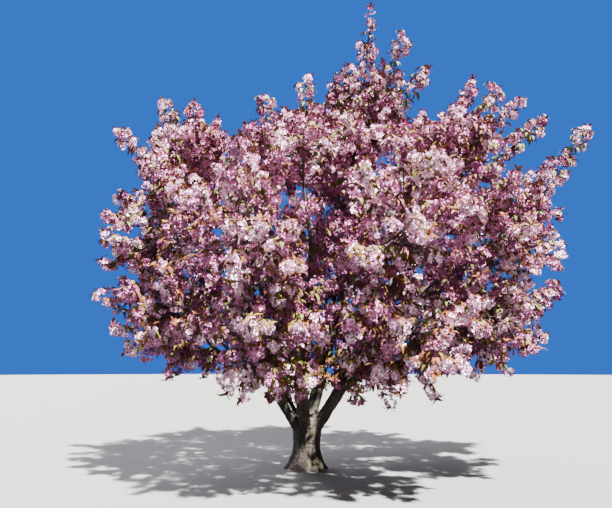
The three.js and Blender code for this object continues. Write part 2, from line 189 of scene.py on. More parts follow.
class TrunkSizes(PropertyGroup):
    """The trunk, from its flat cut to the crotch, and the limbs that leave it."""

    height: size("Height", "From the ground to the top of the crotch", 0.86)
    foot: size("Foot radius", "Radius just above the root flare", 0.222)
    waist: size("Waist radius", "Radius at the narrowest height", 0.195)
    crotch: size("Crotch radius", "Radius where the boughs leave", 0.24)
    flare: size("Root flare", "How far the roots stand out at the ground", 0.15)
    flare_height: size("Flare height", "Height over which the flare dies away", 0.19)
    roots: IntProperty(name="Roots", description="Lobes of the root flare", default=6)
    lean_right: size("Lean to the right", "How far the crotch stands to the right", 0.045)
    lean_away: size("Lean away", "How far the crotch stands away from the viewer", -0.025)
    boughs_leave: share("Boughs leave", "Height of the boughs' roots as a share", 0.74)
    bough_spread: size("Bough spread", "How far from the middle the outer boughs leave", 0.14)
    middle_spread: size("Middle spread", "How far from the middle the inner boughs leave", 0.052)
    bough_lean: size("Bough lean", "How far the outer boughs lean where they leave", 0.72, "ROTATION")
    middle_lean: size("Middle lean", "How far the inner boughs lean where they leave", 0.2, "ROTATION")
    bough_root: size("Bough root radius", "Radius of a bough where it leaves", 0.084)
    bough_tip: size("Bough tip radius", "Radius of a bough where it enters its mass", 0.026)
    branch_share: share("Branch share", "A branch's thickness as a share of its bough's", 0.72)
    branch_tip: size("Branch tip radius", "Radius of a branch where it enters its mass", 0.02)
    relief: size("Bark relief", "Depth of the bark's plates and furrows", 0.009)


class CrownSizes(PropertyGroup):
    """The places of the masses and the growth of their shoots."""

    axis: size("Axis", "How far to the right of the trunk the crown's axis stands", 0.38)
    depth: share("Depth", "The crown's depth as a share of its width", 0.87)
    rise_to_back: size("Rise to the back", "How much higher the masses stand at the back", 0.26)
    shift: size("Shift of middles", "How far a mass may stand off its place", 0.13)
    heart_height: size("Heart", "Height from which the shoots fan out", 2.4)
    entry: share("Entry", "How far short of its middle a bough ends, as a share of the reach", 0.62)
    edge: size("Edge", "Room that is kept to the edge of a mass's space", 0.02)
    more_shoots: IntProperty(name="More shoots", description="Further shoots for each mass", default=9)
    more_fan: size("Further fan", "How much wider the further shoots fan", 0.6, "ROTATION")
    wand_step: size("Side shoot step", "From one side shoot to the next", 0.205)
    wand_long: size("Side shoot length", "Length of the longest side shoots", 0.78)
    wand_lean: size("Side shoot lean", "How far a side shoot leans off its shoot", 0.75, "ROTATION")
    cluster_step: size("Cluster step", "From one cluster of blossom to the next", 0.12)
    bare_base: share("Bare base", "The inner share of a side shoot that has few clusters", 0.38)
    between: size("Between", "Furthest that two leading shoots stand apart with one between", 2.8)
    brow: size("Brow", "Height over the trunk that no plain shoot passes", 6.2)
    brow_slope: share("Brow slope", "How fast that height rises towards the back", 0.57)
    limb_step: size("Step on limbs", "From one flowering shoot on a limb to the next", 0.17)
    low_step: size("Low step", "The same on the lower part of the limbs", 0.1)
    lowest: size("Lowest blossom", "Height from which the limbs carry flowering shoots", 1.12)
    hanging: IntProperty(name="Hanging", description="Shoots that hang from a low mass", default=4)


class BlossomLooks(PropertyGroup):
    """The double flowers and their colours."""

    flowers: IntProperty(name="Flowers", description="Flowers in an outer cluster", default=4)
    inner_flowers: IntProperty(name="Inner flowers", description="Flowers in an inner one", default=3)
    radius: size("Flower radius", "From a flower's middle to a petal's tip", 0.048)
    stalk: size("Stalk", "From the spur's end to a flower", 0.055)
    pale: tint("Pale", "Outer petals of the palest sprays", (0.9, 0.685, 0.805))
    pink: tint("Pink", "Outer petals of the middle sprays", (0.56, 0.24, 0.42))
    rose: tint("Rose", "Outer petals of the deepest sprays", (0.22, 0.045, 0.135))
    # The inner petals are deeper, as a double flower's middle is, and darkened further as painted shade
    # in the middle of each flower.
    heart_pale: tint("Pale heart", "Inner petals of the palest sprays", (0.52, 0.2, 0.37))
    heart_pink: tint("Pink heart", "Inner petals of the middle sprays", (0.3, 0.075, 0.18))
    heart_rose: tint("Rose heart", "Inner petals of the deepest sprays", (0.1, 0.015, 0.05))


class LeafLooks(PropertyGroup):
    """The young leaves and their colours."""

    length: size("Length", "From stalk to tip", 0.15)
    rosette: IntProperty(name="Rosette", description="Leaves that droop over a cluster", default=6)
    tuft: IntProperty(name="Tuft", description="Upright leaves at the tip of a shoot", default=5)
    copper: tint("Copper", "Leaves at the tips of shoots", (0.105, 0.031, 0.004))
    bronze: tint("Bronze", "Leaves over the clusters", (0.108, 0.058, 0.004))
    olive: tint("Olive", "Leaves that have turned green", (0.078, 0.074, 0.004))


class BarkLooks(PropertyGroup):
    """The colours of the bark and the twigs."""

    furrow: tint("Furrow", "In the furrows of the bark", (0.01, 0.007, 0.006))
    plate: tint("Plate", "On the plates of the bark", (0.045, 0.032, 0.025))
    pore: tint("Breathing pore", "The pale bands of breathing pores", (0.115, 0.086, 0.064))
    lichen: tint("Lichen", "Patches of lichen", (0.068, 0.068, 0.028))
    twig: tint("Twig", "Young twigs", (0.045, 0.025, 0.02))


class StageLooks(PropertyGroup):
    """The floor, the light and the camera."""

    floor: tint("Floor", "Colour of the floor", (0.12, 0.12, 0.115))
    bounce: tint("Bounce", "What the floor gives back to the tree", (0.04, 0.04, 0.038))
    backdrop: tint("Backdrop", "What shows behind the tree", (0.027, 0.165, 0.77))
    fill: tint("Fill light", "Colour of the soft light all round", (0.6, 0.62, 0.95))
    around: share("Light all round", "Strength of the soft light all round", 0.1, max=10)
    key: share("Key light", "Strength of the main light", 62.0, max=90)
    back: share("Back light", "Strength of the soft light from behind", 8.0, max=90)
    eye_height: size("Eye height", "Height of the camera", 1.6)
    distance: size("Distance", "From the camera to the trunk", 8.6)
    pitch: size("Pitch", "How far the camera looks up", math.radians(13.1), "ROTATION")
    lens: FloatProperty(name="Lens", description="Focal length in mm on 36 mm", default=28.82)


# The growth rule that the solids follow.


def unit(ways):
    """Each way divided by its length."""
    return ways / np.linalg.norm(ways, axis=-1, keepdims=True)


def smoothstep(value, low, high):
    """0 below low, 1 above high, and 3x^2 - 2x^3 between them."""
    x = np.clip((value - low) / (high - low), 0, 1)
    return x * x * (3 - 2 * x)


def draws(seed):
    """Even random numbers from 0 to 1: each state is the last times 16807, modulo 2^31 - 1."""
    state = (seed * 7919 + 12345) % 2147483647
    while True:
        state = state * 16807 % 2147483647
        yield state / 2147483647


def either_way(rng, most, count):
    """Even random numbers from -most to most."""
    return rng.uniform(-most, most, count)


def heading(bearing, rise=0.0):
    """The way that a bearing in degrees and a rise above level point."""
    turn, level = math.radians(bearing), math.cos(rise)
    return np.array([level * math.cos(turn), level * math.sin(turn), math.sin(rise)])


def sides_of(ways):
    """Two ways square to each way: up (or X, where the way is steep) crossed with it, and the third."""
    ways = np.asarray(ways, float)
    steep = np.abs(ways[..., 2:3]) >= 0.9
    helper = np.where(steep, np.array([1.0, 0.0, 0.0]), UP)
    side = unit(np.cross(helper, ways))
    return side, unit(np.cross(ways, side))


def fanned(ways, angles, turns):
    """Each way turned from itself by an angle, at a turn round itself."""
    side, other = sides_of(ways)
    angles, turns = np.asarray(angles)[..., None], np.asarray(turns)[..., None]
    out = side * np.cos(turns) + other * np.sin(turns)
    return ways * np.cos(angles) + out * np.sin(angles)


def bezier(controls, shares):
    """Points of Bezier curves. Neighbouring controls are blended until one point is left."""
    points = [np.asarray(control, float) for control in controls]
    while len(points) > 1:
        points = [a + (b - a) * shares for a, b in zip(points, points[1:])]
    return points[0]


class Curve:
    """A Bezier curve that is read by even shares of its length."""

    steps = np.linspace(0, 1, 201)

    def __init__(self, *controls):
        self.controls = [np.asarray(control, float) for control in controls]
        points = bezier(self.controls, self.steps[:, None])
        gaps = np.linalg.norm(np.diff(points, axis=0), axis=1)
        self.run = np.concatenate([[0.0], np.cumsum(gaps)])
        self.length = self.run[-1]

    def place(self, shares):
        """The curve's own parameter at shares of its length."""
        return np.interp(np.asarray(shares, float) * self.length, self.run, self.steps)

    def points(self, shares):
        """Points at shares of the length."""
        return bezier(self.controls, self.place(shares)[..., None])

    def ways(self, shares):
        """Ways that the curve runs at shares of the length."""
        spans = [b - a for a, b in zip(self.controls, self.controls[1:])]
        return unit(bezier(spans, self.place(shares)[..., None]))


class Limb:
    """A tapering limb with a short collar at its root."""

    taper, collar, collar_fade = 0.85, 0.22, 22

    def __init__(self, name, curve, root, tip):
        self.name, self.curve, self.root, self.tip = name, curve, root, tip

    def radii(self, shares):
        """tip + (root - tip) (1 - s)^0.85, and a collar of 0.22 of the root that fades as e^-22s."""
        shares = np.asarray(shares, float)
        body = self.tip + (self.root - self.tip) * (1 - shares) ** self.taper
        return body + self.root * self.collar * np.exp(-shares * self.collar_fade)


class Mass:
    """One mass of blossom: its place in its ring, its middle and its own random numbers."""

    def __init__(self, ring, number, bearing, middle, random):
        self.ring, self.number, self.bearing = ring, number, bearing
        self.middle, self.random, self.sizes = middle, random, RINGS[ring]
        self.leaders, self.between, self.limb = [], [], None


def trunk_middle(heights, trunk):
    """The trunk's middle at heights: off to its lean by the square of the height's share."""
    heights = np.asarray(heights, float)
    bend = (heights / trunk.height) ** 2
    return np.stack([trunk.lean_right * bend, trunk.lean_away * bend, heights], -1)


def trunk_radius(heights, bearings, trunk):
    """The waist, and added to it a swell at the crotch over 0.3 to 0.8 of the height, a taper from the
    foot up to 0.45 of it, and the root flare. The flare dies away as e^(-z / flare height), and has
    lobes, 0.62 + 0.38 cos(n b + 0.8 sin b) at the bearing b. A dome closes the top: all is multiplied
    by the root of 1 - x^2, where x runs from 0 at 0.8 of the height to 1 at 1.02."""
    part = heights / trunk.height
    swell = (trunk.crotch - trunk.waist) * smoothstep(part, 0.3, 0.8)
    taper = (trunk.foot - trunk.waist) * (1 - smoothstep(part, 0, 0.45))
    lobe = 0.62 + 0.38 * np.cos(trunk.roots * bearings + 0.8 * np.sin(bearings))
    flare = trunk.flare * np.exp(-np.maximum(heights, 0) / trunk.flare_height) * lobe
    dome = np.sqrt(np.maximum(0, 1 - np.clip((part - 0.8) / 0.22, 0, 1) ** 2))
    return (trunk.waist + swell + taper + flare) * dome


def lay_out_masses(crown):
    """The masses' middles, ring by ring, each a little off its place."""
    masses = []
    for ring, sizes in RINGS.items():
        for k in range(sizes["count"]):
            random = draws(len(masses) + 1)
            bearing = sizes["first"] + 360 / sizes["count"] * k
            way = heading(bearing)
            middle = np.array([
                crown.axis + sizes["out"] * way[0],
                sizes["out"] * crown.depth * way[1],
                sizes["up"] + crown.rise_to_back * way[1],
            ])
            middle += crown.shift * (2 * np.array([next(random) for _ in range(3)]) - 1)
            masses.append(Mass(ring, k + 1, bearing, middle, random))
    middles = np.array([mass.middle for mass in masses])
    for tip in LEADERS:
        masses[nearest_to(tip, middles)].leaders.append(tip)
    for tip in tips_between(crown):
        masses[nearest_to(tip, middles)].between.append(tip)
    return masses


def nearest_to(point, middles):
    """Which middle lies nearest to a point."""
    return int(np.argmin(np.linalg.norm(middles - point, axis=1)))


def tips_between(crown):
    """Lower shoots that close the crown's top: two between a leading shoot in front and one behind.
    At a share s of the way they are lower by 0.64 of the way between the two times s (1 - s)."""
    tips = []
    for front, back in combinations(LEADERS, 2):
        apart = np.linalg.norm(back - front)
        if apart < crown.between and abs(back[1] - front[1]) > DEEP:
            front, back = sorted((front, back), key=lambda tip: tip[1])
            for part in BETWEEN_PLACES:
                sag = BETWEEN_SAG * apart * part * (1 - part)
                tips.append(front + (back - front) * part - UP * sag)
    return tips


def arrival(root, middle, lift):
    """The way that a limb from here comes to a mass: straight on, but turned up."""
    way = unit(middle - root)
    return unit(way + lift * UP)


def limb_curve(root, leave, tip, arrive, random):
    """A cubic Bezier that leaves one way, sways off its line and comes to its tip another way."""
    span = np.linalg.norm(tip - root)
    side, other = sides_of(unit(tip - root))
    sway = [SWAY * span * (2 * next(random) - 1) for _ in range(2)]
    start = root + leave * span * KEEPS_FIRST_WAY + side * sway[0]
    end = tip - arrive * span * KEEPS_LAST_WAY + other * sway[1]
    return Curve(root, start, end, tip)


def limb_to(mass, name, root, leave, lift, radii, crown):
    """A mass's own limb, from a root to short of the mass's middle."""
    arrive = arrival(root, mass.middle, lift)
    tip = mass.middle - arrive * crown.entry * mass.sizes["reach"]
    mass.limb = Limb(name, limb_curve(root, leave, tip, arrive, mass.random), *radii)
    return mass.limb


def lay_out_limbs(masses, trunk, crown):
    """Boughs from the crotch to the crest and upper masses, then branches off them to the others."""
    boughs, branches = [], []
    crotch = trunk_middle(trunk.height * trunk.boughs_leave, trunk)
    for mass in (mass for mass in masses if "leaves" not in mass.sizes):
        central = mass.ring == "crest"
        spread = trunk.middle_spread if central else trunk.bough_spread
        lean = trunk.middle_lean if central else trunk.bough_lean
        root = crotch + heading(mass.bearing) * spread
        leave = heading(mass.bearing, math.pi / 2 - lean)
        name = f"bough_middle_{mass.number}" if central else f"bough_{mass.number}"
        radii = trunk.bough_root, trunk.bough_tip
        boughs.append(limb_to(mass, name, root, leave, BOUGH_LIFT, radii, crown))
    for mass in (mass for mass in masses if "leaves" in mass.sizes):
        parent = carrier_of(mass, boughs, crown)
        place = mass.sizes["leaves"] + BRANCH_SPREAD * (2 * next(mass.random) - 1)
        root, onward = parent.curve.points(place), parent.curve.ways(place)
        turned = arrival(root, mass.middle, BRANCH_LIFT) - onward
        leave = unit(onward + turned * BRANCH_TURN_OFF)
        radii = float(parent.radii(place)) * trunk.branch_share, trunk.branch_tip
        name = f"branch_{mass.ring}_{mass.number}"
        branches.append(limb_to(mass, name, root, leave, BRANCH_LIFT, radii, crown))
    return boughs + branches


def carrier_of(mass, boughs, crown):
    """The bough that carries a mass: a middle one for the heart, else the nearest in bearing."""
    middles = RINGS["crest"]["count"]
    if mass.ring == "heart":
        return boughs[mass.number % middles]
    offset = np.array([crown.axis, 0, 0])
    level = np.array([1, 1, 0])
    way = unit((mass.middle - offset) * level)
    along = [unit((bough.curve.points(1) - offset) * level) @ way for bough in boughs[middles:]]
    return boughs[middles + int(np.argmax(along))]


# The masses, carried on to finer twigs.


class Spaces:
    """Each mass's space: the points nearer to its middle than to another's, and clear of the limbs."""

    first, places = 0.02, 30

    def __init__(self, masses, limbs):
        self.middles = np.array([mass.middle for mass in masses])
        shares = np.linspace(self.first, 1, self.places)
        self.line = np.concatenate([limb.curve.points(shares) for limb in limbs])
        self.girth = np.concatenate([limb.radii(shares) for limb in limbs])

    def room(self, points, index):
        """How far points lie inside the space of a mass: half the difference of the squared
        distances to two middles, divided by the distance between those middles."""
        own = self.middles[index]
        others = np.delete(self.middles, index, axis=0)
        gaps = np.linalg.norm(others - own, axis=1)
        far = ((points[..., None, :] - others) ** 2).sum(-1)
        near = ((points - own) ** 2).sum(-1)[..., None]
        return ((far - near) / (2 * gaps)).min(-1)

    def room_along(self, way, index):
        """How far one can go from a middle along a way and stay in its space."""
        steps = np.delete(self.middles, index, axis=0) - self.middles[index]
        gaps = np.linalg.norm(steps, axis=1)
        speeds = steps @ way / gaps
        ahead = speeds > 0
        return min([np.inf, *((gaps[ahead] / 2 - SPACE_EDGE) / speeds[ahead])])

    def off_limbs(self, points):
        """How far points lie outside the limbs."""
        gaps = np.linalg.norm(points[..., None, :] - self.line, axis=-1) - self.girth
        return gaps.min(-1)


class Twigs:
    """Many like twigs as arrays: quadratic Bezier controls, root and tip radii, mass and rank."""

    columns = ("thick", "thin", "mass", "rank")

    def __init__(self):
        self.rows = []

    def add(self, starts, bends, ends, thick, thin, mass, rank):
        """More twigs. One that grows straight on a limb has -1 as its mass."""
        count = len(starts)
        wide = [np.broadcast_to(np.asarray(v, float), (count,)) for v in (thick, thin, mass, rank)]
        self.rows.append(np.column_stack([starts, bends, ends, *wide]))

    def controls(self):
        """Start, bend and end points."""
        table = np.concatenate(self.rows)
        return table[:, 0:3], table[:, 3:6], table[:, 6:9]

    def column(self, name):
        """One number of every twig."""
        return np.concatenate(self.rows)[:, 9 + self.columns.index(name)]


def stem_of(mass, axis):
    """The stem of a mass runs on from its limb's tip and past the mass's middle."""
    tip, way = mass.limb.curve.points(1), mass.limb.curve.ways(1)
    end = mass.middle + axis * STEM_PAST * mass.sizes["reach"]
    return Curve(tip, tip + way * np.linalg.norm(end - tip) * 0.5, end)


def shoot_tips(mass, index, axis, spaces, crown):
    """Where the shoots of a mass end, and how they rank: leading shoots and their companions, shoots
    between leading ones, shoots fanned evenly round the axis, and further ones in the open spots."""
    reach, wide = mass.sizes["reach"], math.radians(mass.sizes["fan"])
    count = max(2, mass.sizes["shoots"] - math.ceil(len(mass.leaders) / 2))
    tips = [(tip, LEADING) for tip in mass.leaders]
    for tip in mass.leaders:
        way = tip - mass.middle
        for k, part in enumerate(COMPANIONS):
            out = fanned(unit(way), math.pi / 2, k * GOLDEN_ANGLE + mass.number + len(tips))
            off = out * COMPANIONS_OFF * (COMPANIONS_FROM - part)
            tips.append((mass.middle + way * part + off, BESIDE))
    tips += [(tip, BESIDE) for tip in mass.between]
    if mass.ring == "skirt":
        for k in range(crown.hanging):
            lean, long = (first + more * k for first, more in (HANGING_LEAN, HANGING_REACH))
            way = fanned(-UP, lean, k * GOLDEN_ANGLE + math.radians(mass.bearing))
            tips.append((mass.middle + way * reach * long, BESIDE))
    fan = 1 - math.cos(wide)
    for k in range(count):
        lean = math.acos(1 - (k + FAN_START) / count * fan)
        way = fanned(axis, lean, k * GOLDEN_ANGLE + mass.number)
        wanted = reach * (FAN_SHORT + FAN_LONGER * next(mass.random))
        length = min(wanted, spaces.room_along(way, index) - SPRAY_ROOM)
        tips.append((mass.middle + way * length, PLAIN))
    return tips + [(tip, PLAIN) for tip in open_spots(mass, index, axis, spaces, crown, tips)]


def under_brow(tip, middle, crown):
    """A plain shoot's tip, drawn in towards its mass's middle to the sloping plane of the brow, so
    that the leading shoots stand clear above the rest."""
    slope = np.array([0.0, -crown.brow_slope, 1.0])
    over, rise = tip @ slope - crown.brow, (tip - middle) @ slope
    return tip if over <= 0 or rise <= 0 else tip - (tip - middle) * min(over / rise, MOST_DRAWN_IN)


def open_spots(mass, index, axis, spaces, crown, tips):
    """Where further shoots of a mass end. Of many ways fanned evenly round the axis, each as long as
    the reach and the space allow, the one is taken again and again that ends furthest from all tips."""
    fan = 1 - math.cos(min(math.pi, math.radians(mass.sizes["fan"]) + crown.more_fan))
    order = np.arange(OPEN_WAYS)
    leans = np.arccos(1 - (order + 0.5) / OPEN_WAYS * fan)
    ways = fanned(np.tile(axis, (OPEN_WAYS, 1)), leans, order * GOLDEN_ANGLE)
    rooms = np.array([spaces.room_along(way, index) for way in ways]) - OPEN_ROOM
    varied = OPEN_REACH + OPEN_VARIES * np.sin(order * OPEN_WAVE)
    lengths = np.minimum(rooms, mass.sizes["reach"] * varied)
    ends = mass.middle + ways * lengths[:, None]
    taken = [tip for tip, _rank in tips]
    gaps = np.linalg.norm(ends[:, None] - np.array(taken), axis=-1).min(1)
    spots = []
    for _ in range(crown.more_shoots):
        best = int(np.argmax(gaps))
        spots.append(ends[best])
        gaps = np.minimum(gaps, np.linalg.norm(ends - ends[best], axis=1))
    return spots


def grow_shoots(masses, spaces, crown):
    """Stems and shoots of every mass. A shoot sags to its middle and sweeps up to its tip."""
    shoots, stems = [], []
    heart = np.array([crown.axis, 0, crown.heart_height])
    for index, mass in enumerate(masses):
        axis = unit(mass.middle - heart)
        stem = stem_of(mass, axis)
        stems.append((stem, mass.limb.tip))
        for k, (tip, rank) in enumerate(shoot_tips(mass, index, axis, spaces, crown)):
            if rank == PLAIN:
                tip = under_brow(tip, mass.middle, crown)
            start = stem.points(FIRST_SHOOT + SHOOT_SPAN * ((k * GOLDEN_SHARE) % 1))
            back = TIP_CLUSTER / np.linalg.norm(start - tip) if rank == LEADING else TIP_SHARE
            end = tip + (start - tip) * back
            bend = (start + end) / 2 - UP * SHOOT_SAG * np.linalg.norm(end - start)
            curve = Curve(start, bend, end)
            inside = spaces.room(curve.points(np.linspace(0.2, 1, 5)), index).min()
            if rank == LEADING or inside > -MAY_LEAVE:
                shoots.append((curve, index, k, rank))
    return stems, shoots


class SideShoots:
    """How side shoots stand and vary."""

    # They stand up to this share of the shoot's length from its tip, off their place and turn by these.
    inner_end, place, turn = 0.86, 0.04, 0.5
    # The least and the most of the usual lean and length.
    leans, lengths = (0.75, 1.3), (0.75, 1.15)
    # How far they turn up, how long the outermost is, and how much longer they are further in.
    rise, outermost, longer_inwards = 0.22, 0.22, 0.5
    # What they are cut to where there is less room, and the room that they keep to the limbs.
    cuts, clear_of_limbs = (1.0, 0.78, 0.6, 0.45), 0.05
    # How far one leads along its way and upward, as shares of its length.
    onward, upward = 0.86, 0.2
    # The radius at the root, what a metre of length adds to it, and the radius at the tip.
    root, root_by_length, tip = 0.0035, 0.005, 0.0016


class LimbShoots:
    """How the short shoots straight on the limbs stand and vary."""

    # How far up its limb the first one stands, and by how much each is off its place.
    first, place = 0.1, 0.07
    # Leans, lengths past the bark, and how far they turn up, each from least to most.
    leans, lengths, rises = (0.8, 1.35), (0.16, 0.48), (-0.25, 0.2)
    # Where one bends and how far it leads upward, as shares of its length, and its radii.
    bend, upward = 0.5, 0.1
    root, tip = 0.0055, 0.0018


def grow_wands(shoots, spaces, crown, rng):
    """Side shoots: they leave each shoot at golden turns, lean out and sweep up. One that would
    leave the mass's space is made shorter, or left out."""
    wands, side = Twigs(), SideShoots
    for curve, index, k, rank in shoots:
        first = NO_SIDE_SHOOTS[rank]
        back = np.arange(first, curve.length * side.inner_end, crown.wand_step)
        if not len(back):
            continue
        back = back + either_way(rng, side.place, len(back))
        places = 1 - back / curve.length
        starts, onward = curve.points(places), curve.ways(places)
        turns = (np.arange(len(back)) + k) * GOLDEN_ANGLE + either_way(rng, side.turn, len(back))
        leans = crown.wand_lean * rng.uniform(*side.leans, len(back))
        ways = unit(fanned(onward, leans, turns) + UP * side.rise)
        longest = np.minimum(crown.wand_long, side.outermost + side.longer_inwards * (back - first))
        lengths = longest * rng.uniform(*side.lengths, len(back))
        keep = np.zeros(len(back), bool)
        for cut in side.cuts:
            trial = (lengths * cut)[:, None]
            ends = starts + ways * side.onward * trial + UP * side.upward * trial
            room = np.minimum(spaces.room(ends, index), spaces.room((starts + ends) / 2, index))
            off = np.minimum(spaces.off_limbs(ends), spaces.off_limbs((starts + ends) / 2))
            good = (room > crown.edge) & (off > side.clear_of_limbs) & ~keep
            lengths[good] *= cut
            keep |= good
        starts, ways, lengths = starts[keep], ways[keep], lengths[keep]
        if not len(starts):
            continue
        bends = starts + ways * (0.5 * lengths)[:, None]
        ends = starts + ways * (side.onward * lengths)[:, None] + UP * (side.upward * lengths)[:, None]
        thick = side.root + side.root_by_length * lengths
        wands.add(starts, bends, ends, thick, side.tip, index, PLAIN)
    return wands


def limb_heights(limb):
    """The heights of a limb and how far along it they lie, both rising."""
    shares = np.linspace(0, 1, 60)
    heights = np.maximum.accumulate(limb.curve.points(shares)[:, 2])
    return heights, shares * limb.curve.length


def grow_on_limbs(wands, limbs, crown, rng):
    """Short flowering shoots straight from the boughs and branches, at golden turns round them."""
    short = LimbShoots
    for number, limb in enumerate(limbs):
        low = float(np.interp(LOW_PART, *limb_heights(limb)))
        along = np.concatenate([
            np.arange(short.first, low, crown.low_step),
            np.arange(max(low, short.first), limb.curve.length, crown.limb_step),
        ])
        count = len(along)
        shares = (along + either_way(rng, short.place, count)) / limb.curve.length
        shares = np.clip(shares, 0, 1)
        starts, onward = limb.curve.points(shares), limb.curve.ways(shares)
        turns = (np.arange(count) + number) * GOLDEN_ANGLE
        leans = rng.uniform(*short.leans, count)
        ways = unit(fanned(onward, leans, turns) + UP * rng.uniform(*short.rises, (count, 1)))
        lengths = limb.radii(shares) + rng.uniform(*short.lengths, count)
        keep = starts[:, 2] > crown.lowest
        starts, ways, lengths = starts[keep], ways[keep], lengths[keep, None]
        bends = starts + ways * short.bend * lengths
        ends = starts + ways * lengths + UP * short.upward * lengths
        wands.add(starts, bends, ends, short.root, short.tip, -1, PLAIN)


def flowering_lengths(shoots, wands):
    """The curves that carry blossom: every side shoot, and the outer part of every shoot."""
    flowering = Twigs()
    for curve, index, _k, rank in shoots:
        first = max(BARE_ROOT, 1 - FLOWERING_END[rank] / curve.length)
        start, bend, end = curve.controls
        part = curve.place(first)
        flowering.add(
            bezier(curve.controls, part)[None], (bend + (end - bend) * part)[None], end[None],
            0, 0, index, rank,
        )
    flowering.rows += wands.rows
    return flowering


def counted(counts):
    """For so many of each: which one each belongs to, and its number there from 0."""
    owner = np.repeat(np.arange(len(counts)), counts)
    return owner, np.arange(len(owner)) - np.repeat(np.cumsum(counts) - counts, counts)


class Clusters:
    """The clusters of blossom: where each sits, which way it looks, its twig's point and its spray.

    They are counted from the tip of each flowering length inwards, at golden turns round it."""

    # The first stands part of a step off the tip, and none nearer the root than a share of the length.
    off_tip, innermost, jitter = 0.12, 0.06, 0.03
    # How often the bare base has one, and how often one on a limb has only leaves.
    on_bare_base, leafy_on_limbs = 0.35, 0.45
    # How far they lean off their twig and turn up, and how far each spray's first is turned on.
    lean, rise, spray_turn, off_turn = 1.15, 0.1, 1.7, 0.4
    # The spur to a cluster: its length at the tip, and from least to most elsewhere.
    tip_spur, spurs = 0.02, (0.02, 0.055)
    # How many of the outermost clusters are fuller.
    most_full = {"shoot": 6, "twig": 2}

    def __init__(self, flowering, crown, rng):
        starts, bends, ends = flowering.controls()
        spans = np.linalg.norm(bends - starts, axis=1) + np.linalg.norm(ends - bends, axis=1)
        rank, on_limb = flowering.column("rank"), flowering.column("mass") < 0
        leading, thin = rank == LEADING, ends[:, 2] > THIN_ABOVE
        steps = crown.cluster_step * np.where(leading & ~thin, BOUQUET_STEP, 1.0)
        counts = np.maximum(2, np.round(spans / steps)).astype(int)
        spray, order = counted(counts)
        place = 1 - (order + self.off_tip) / counts[spray] + either_way(rng, self.jitter, len(spray))
        blooms = (place > crown.bare_base) | (rng.uniform(0, 1, len(place)) < self.on_bare_base)
        from_tip = (1 - place) * spans[spray]
        neck = leading[spray] & (from_tip > NECK[0]) & (from_tip < NECK[1])
        some = rng.uniform(0, 1, len(place)) < self.leafy_on_limbs
        self.leafy = (neck | on_limb[spray] & some)[blooms]
        spray, order, place = spray[blooms], order[blooms], place[blooms]
        place = np.clip(place, self.innermost, 1)[:, None]
        controls = starts[spray], bends[spray], ends[spray]
        self.on_twig = bezier(controls, place)
        along = unit(bezier([controls[1] - controls[0], controls[2] - controls[1]], place))
        off_turn = either_way(rng, self.off_turn, len(spray))
        turns = order * GOLDEN_ANGLE + spray * self.spray_turn + off_turn
        out = fanned(along, np.full(len(spray), self.lean), turns)
        self.at_tip = order == 0
        out[self.at_tip] = along[self.at_tip]
        self.out = unit(out + UP * self.rise)
        self.thin = thin[spray]
        bouquet = leading[spray] & ~self.thin & ~self.at_tip
        spur = rng.uniform(*self.spurs, len(spray)) + BOUQUET_SPUR * bouquet
        self.middle = self.on_twig + self.out * np.where(self.at_tip, self.tip_spur, spur)[:, None]
        self.spray = spray
        full_shoot = (rank[spray] > PLAIN) & (order < self.most_full["shoot"])
        self.full = ~self.thin & (full_shoot | (order < self.most_full["twig"]))


# Meshes as whole arrays.


def even_turns(count):
    """Turns that part a whole round evenly."""
    return np.arange(count) * TAU / count


def level(turns):
    """Level ways at these turns."""
    return np.stack([np.cos(turns), np.sin(turns), 0 * turns], -1)


def repeated(points, faces):
    """Copies of one shape, given as N x V x 3 points: all vertices in one list, and all triangles."""
    offsets = np.arange(len(points))[:, None, None] * points.shape[1]
    return points.reshape(-1, 3), (faces[None] + offsets).reshape(-1, 3)


def placed_copies(shape, faces, middles, ways, sizes):
    """A shape set at each middle, with its X, Y and Z along three ways, and scaled."""
    basis = np.stack(ways, 1) * sizes[:, None, None]
    return repeated(middles[:, None] + np.einsum("vj,njk->nvk", shape, basis), faces)


def place_shapes(shape, faces, middles, facing, rolls, sizes):
    """A shape drawn around Z, set at each middle with Z along facing, rolled and scaled."""
    side, other = sides_of(facing)
    rolls = rolls[:, None]
    first = side * np.cos(rolls) + other * np.sin(rolls)
    return placed_copies(shape, faces, middles, [first, np.cross(facing, first), facing], sizes)


def shell_faces(rings, sides):
    """Triangles of a closed shell: strips between its rings and a flat face at both ends."""
    index = np.arange(rings * sides).reshape(rings, sides)
    a, b = index[:-1], index[1:]
    c, d = np.roll(a, -1, 1), np.roll(b, -1, 1)
    strips = [np.stack(corners, -1).reshape(-1, 3) for corners in ((a, c, d), (a, d, b))]
    fan = np.arange(1, sides - 1)
    foot = np.stack([0 * fan, fan + 1, fan], -1)
    return np.concatenate([*strips, foot, foot[:, [0, 2, 1]] + index[-1, 0]])


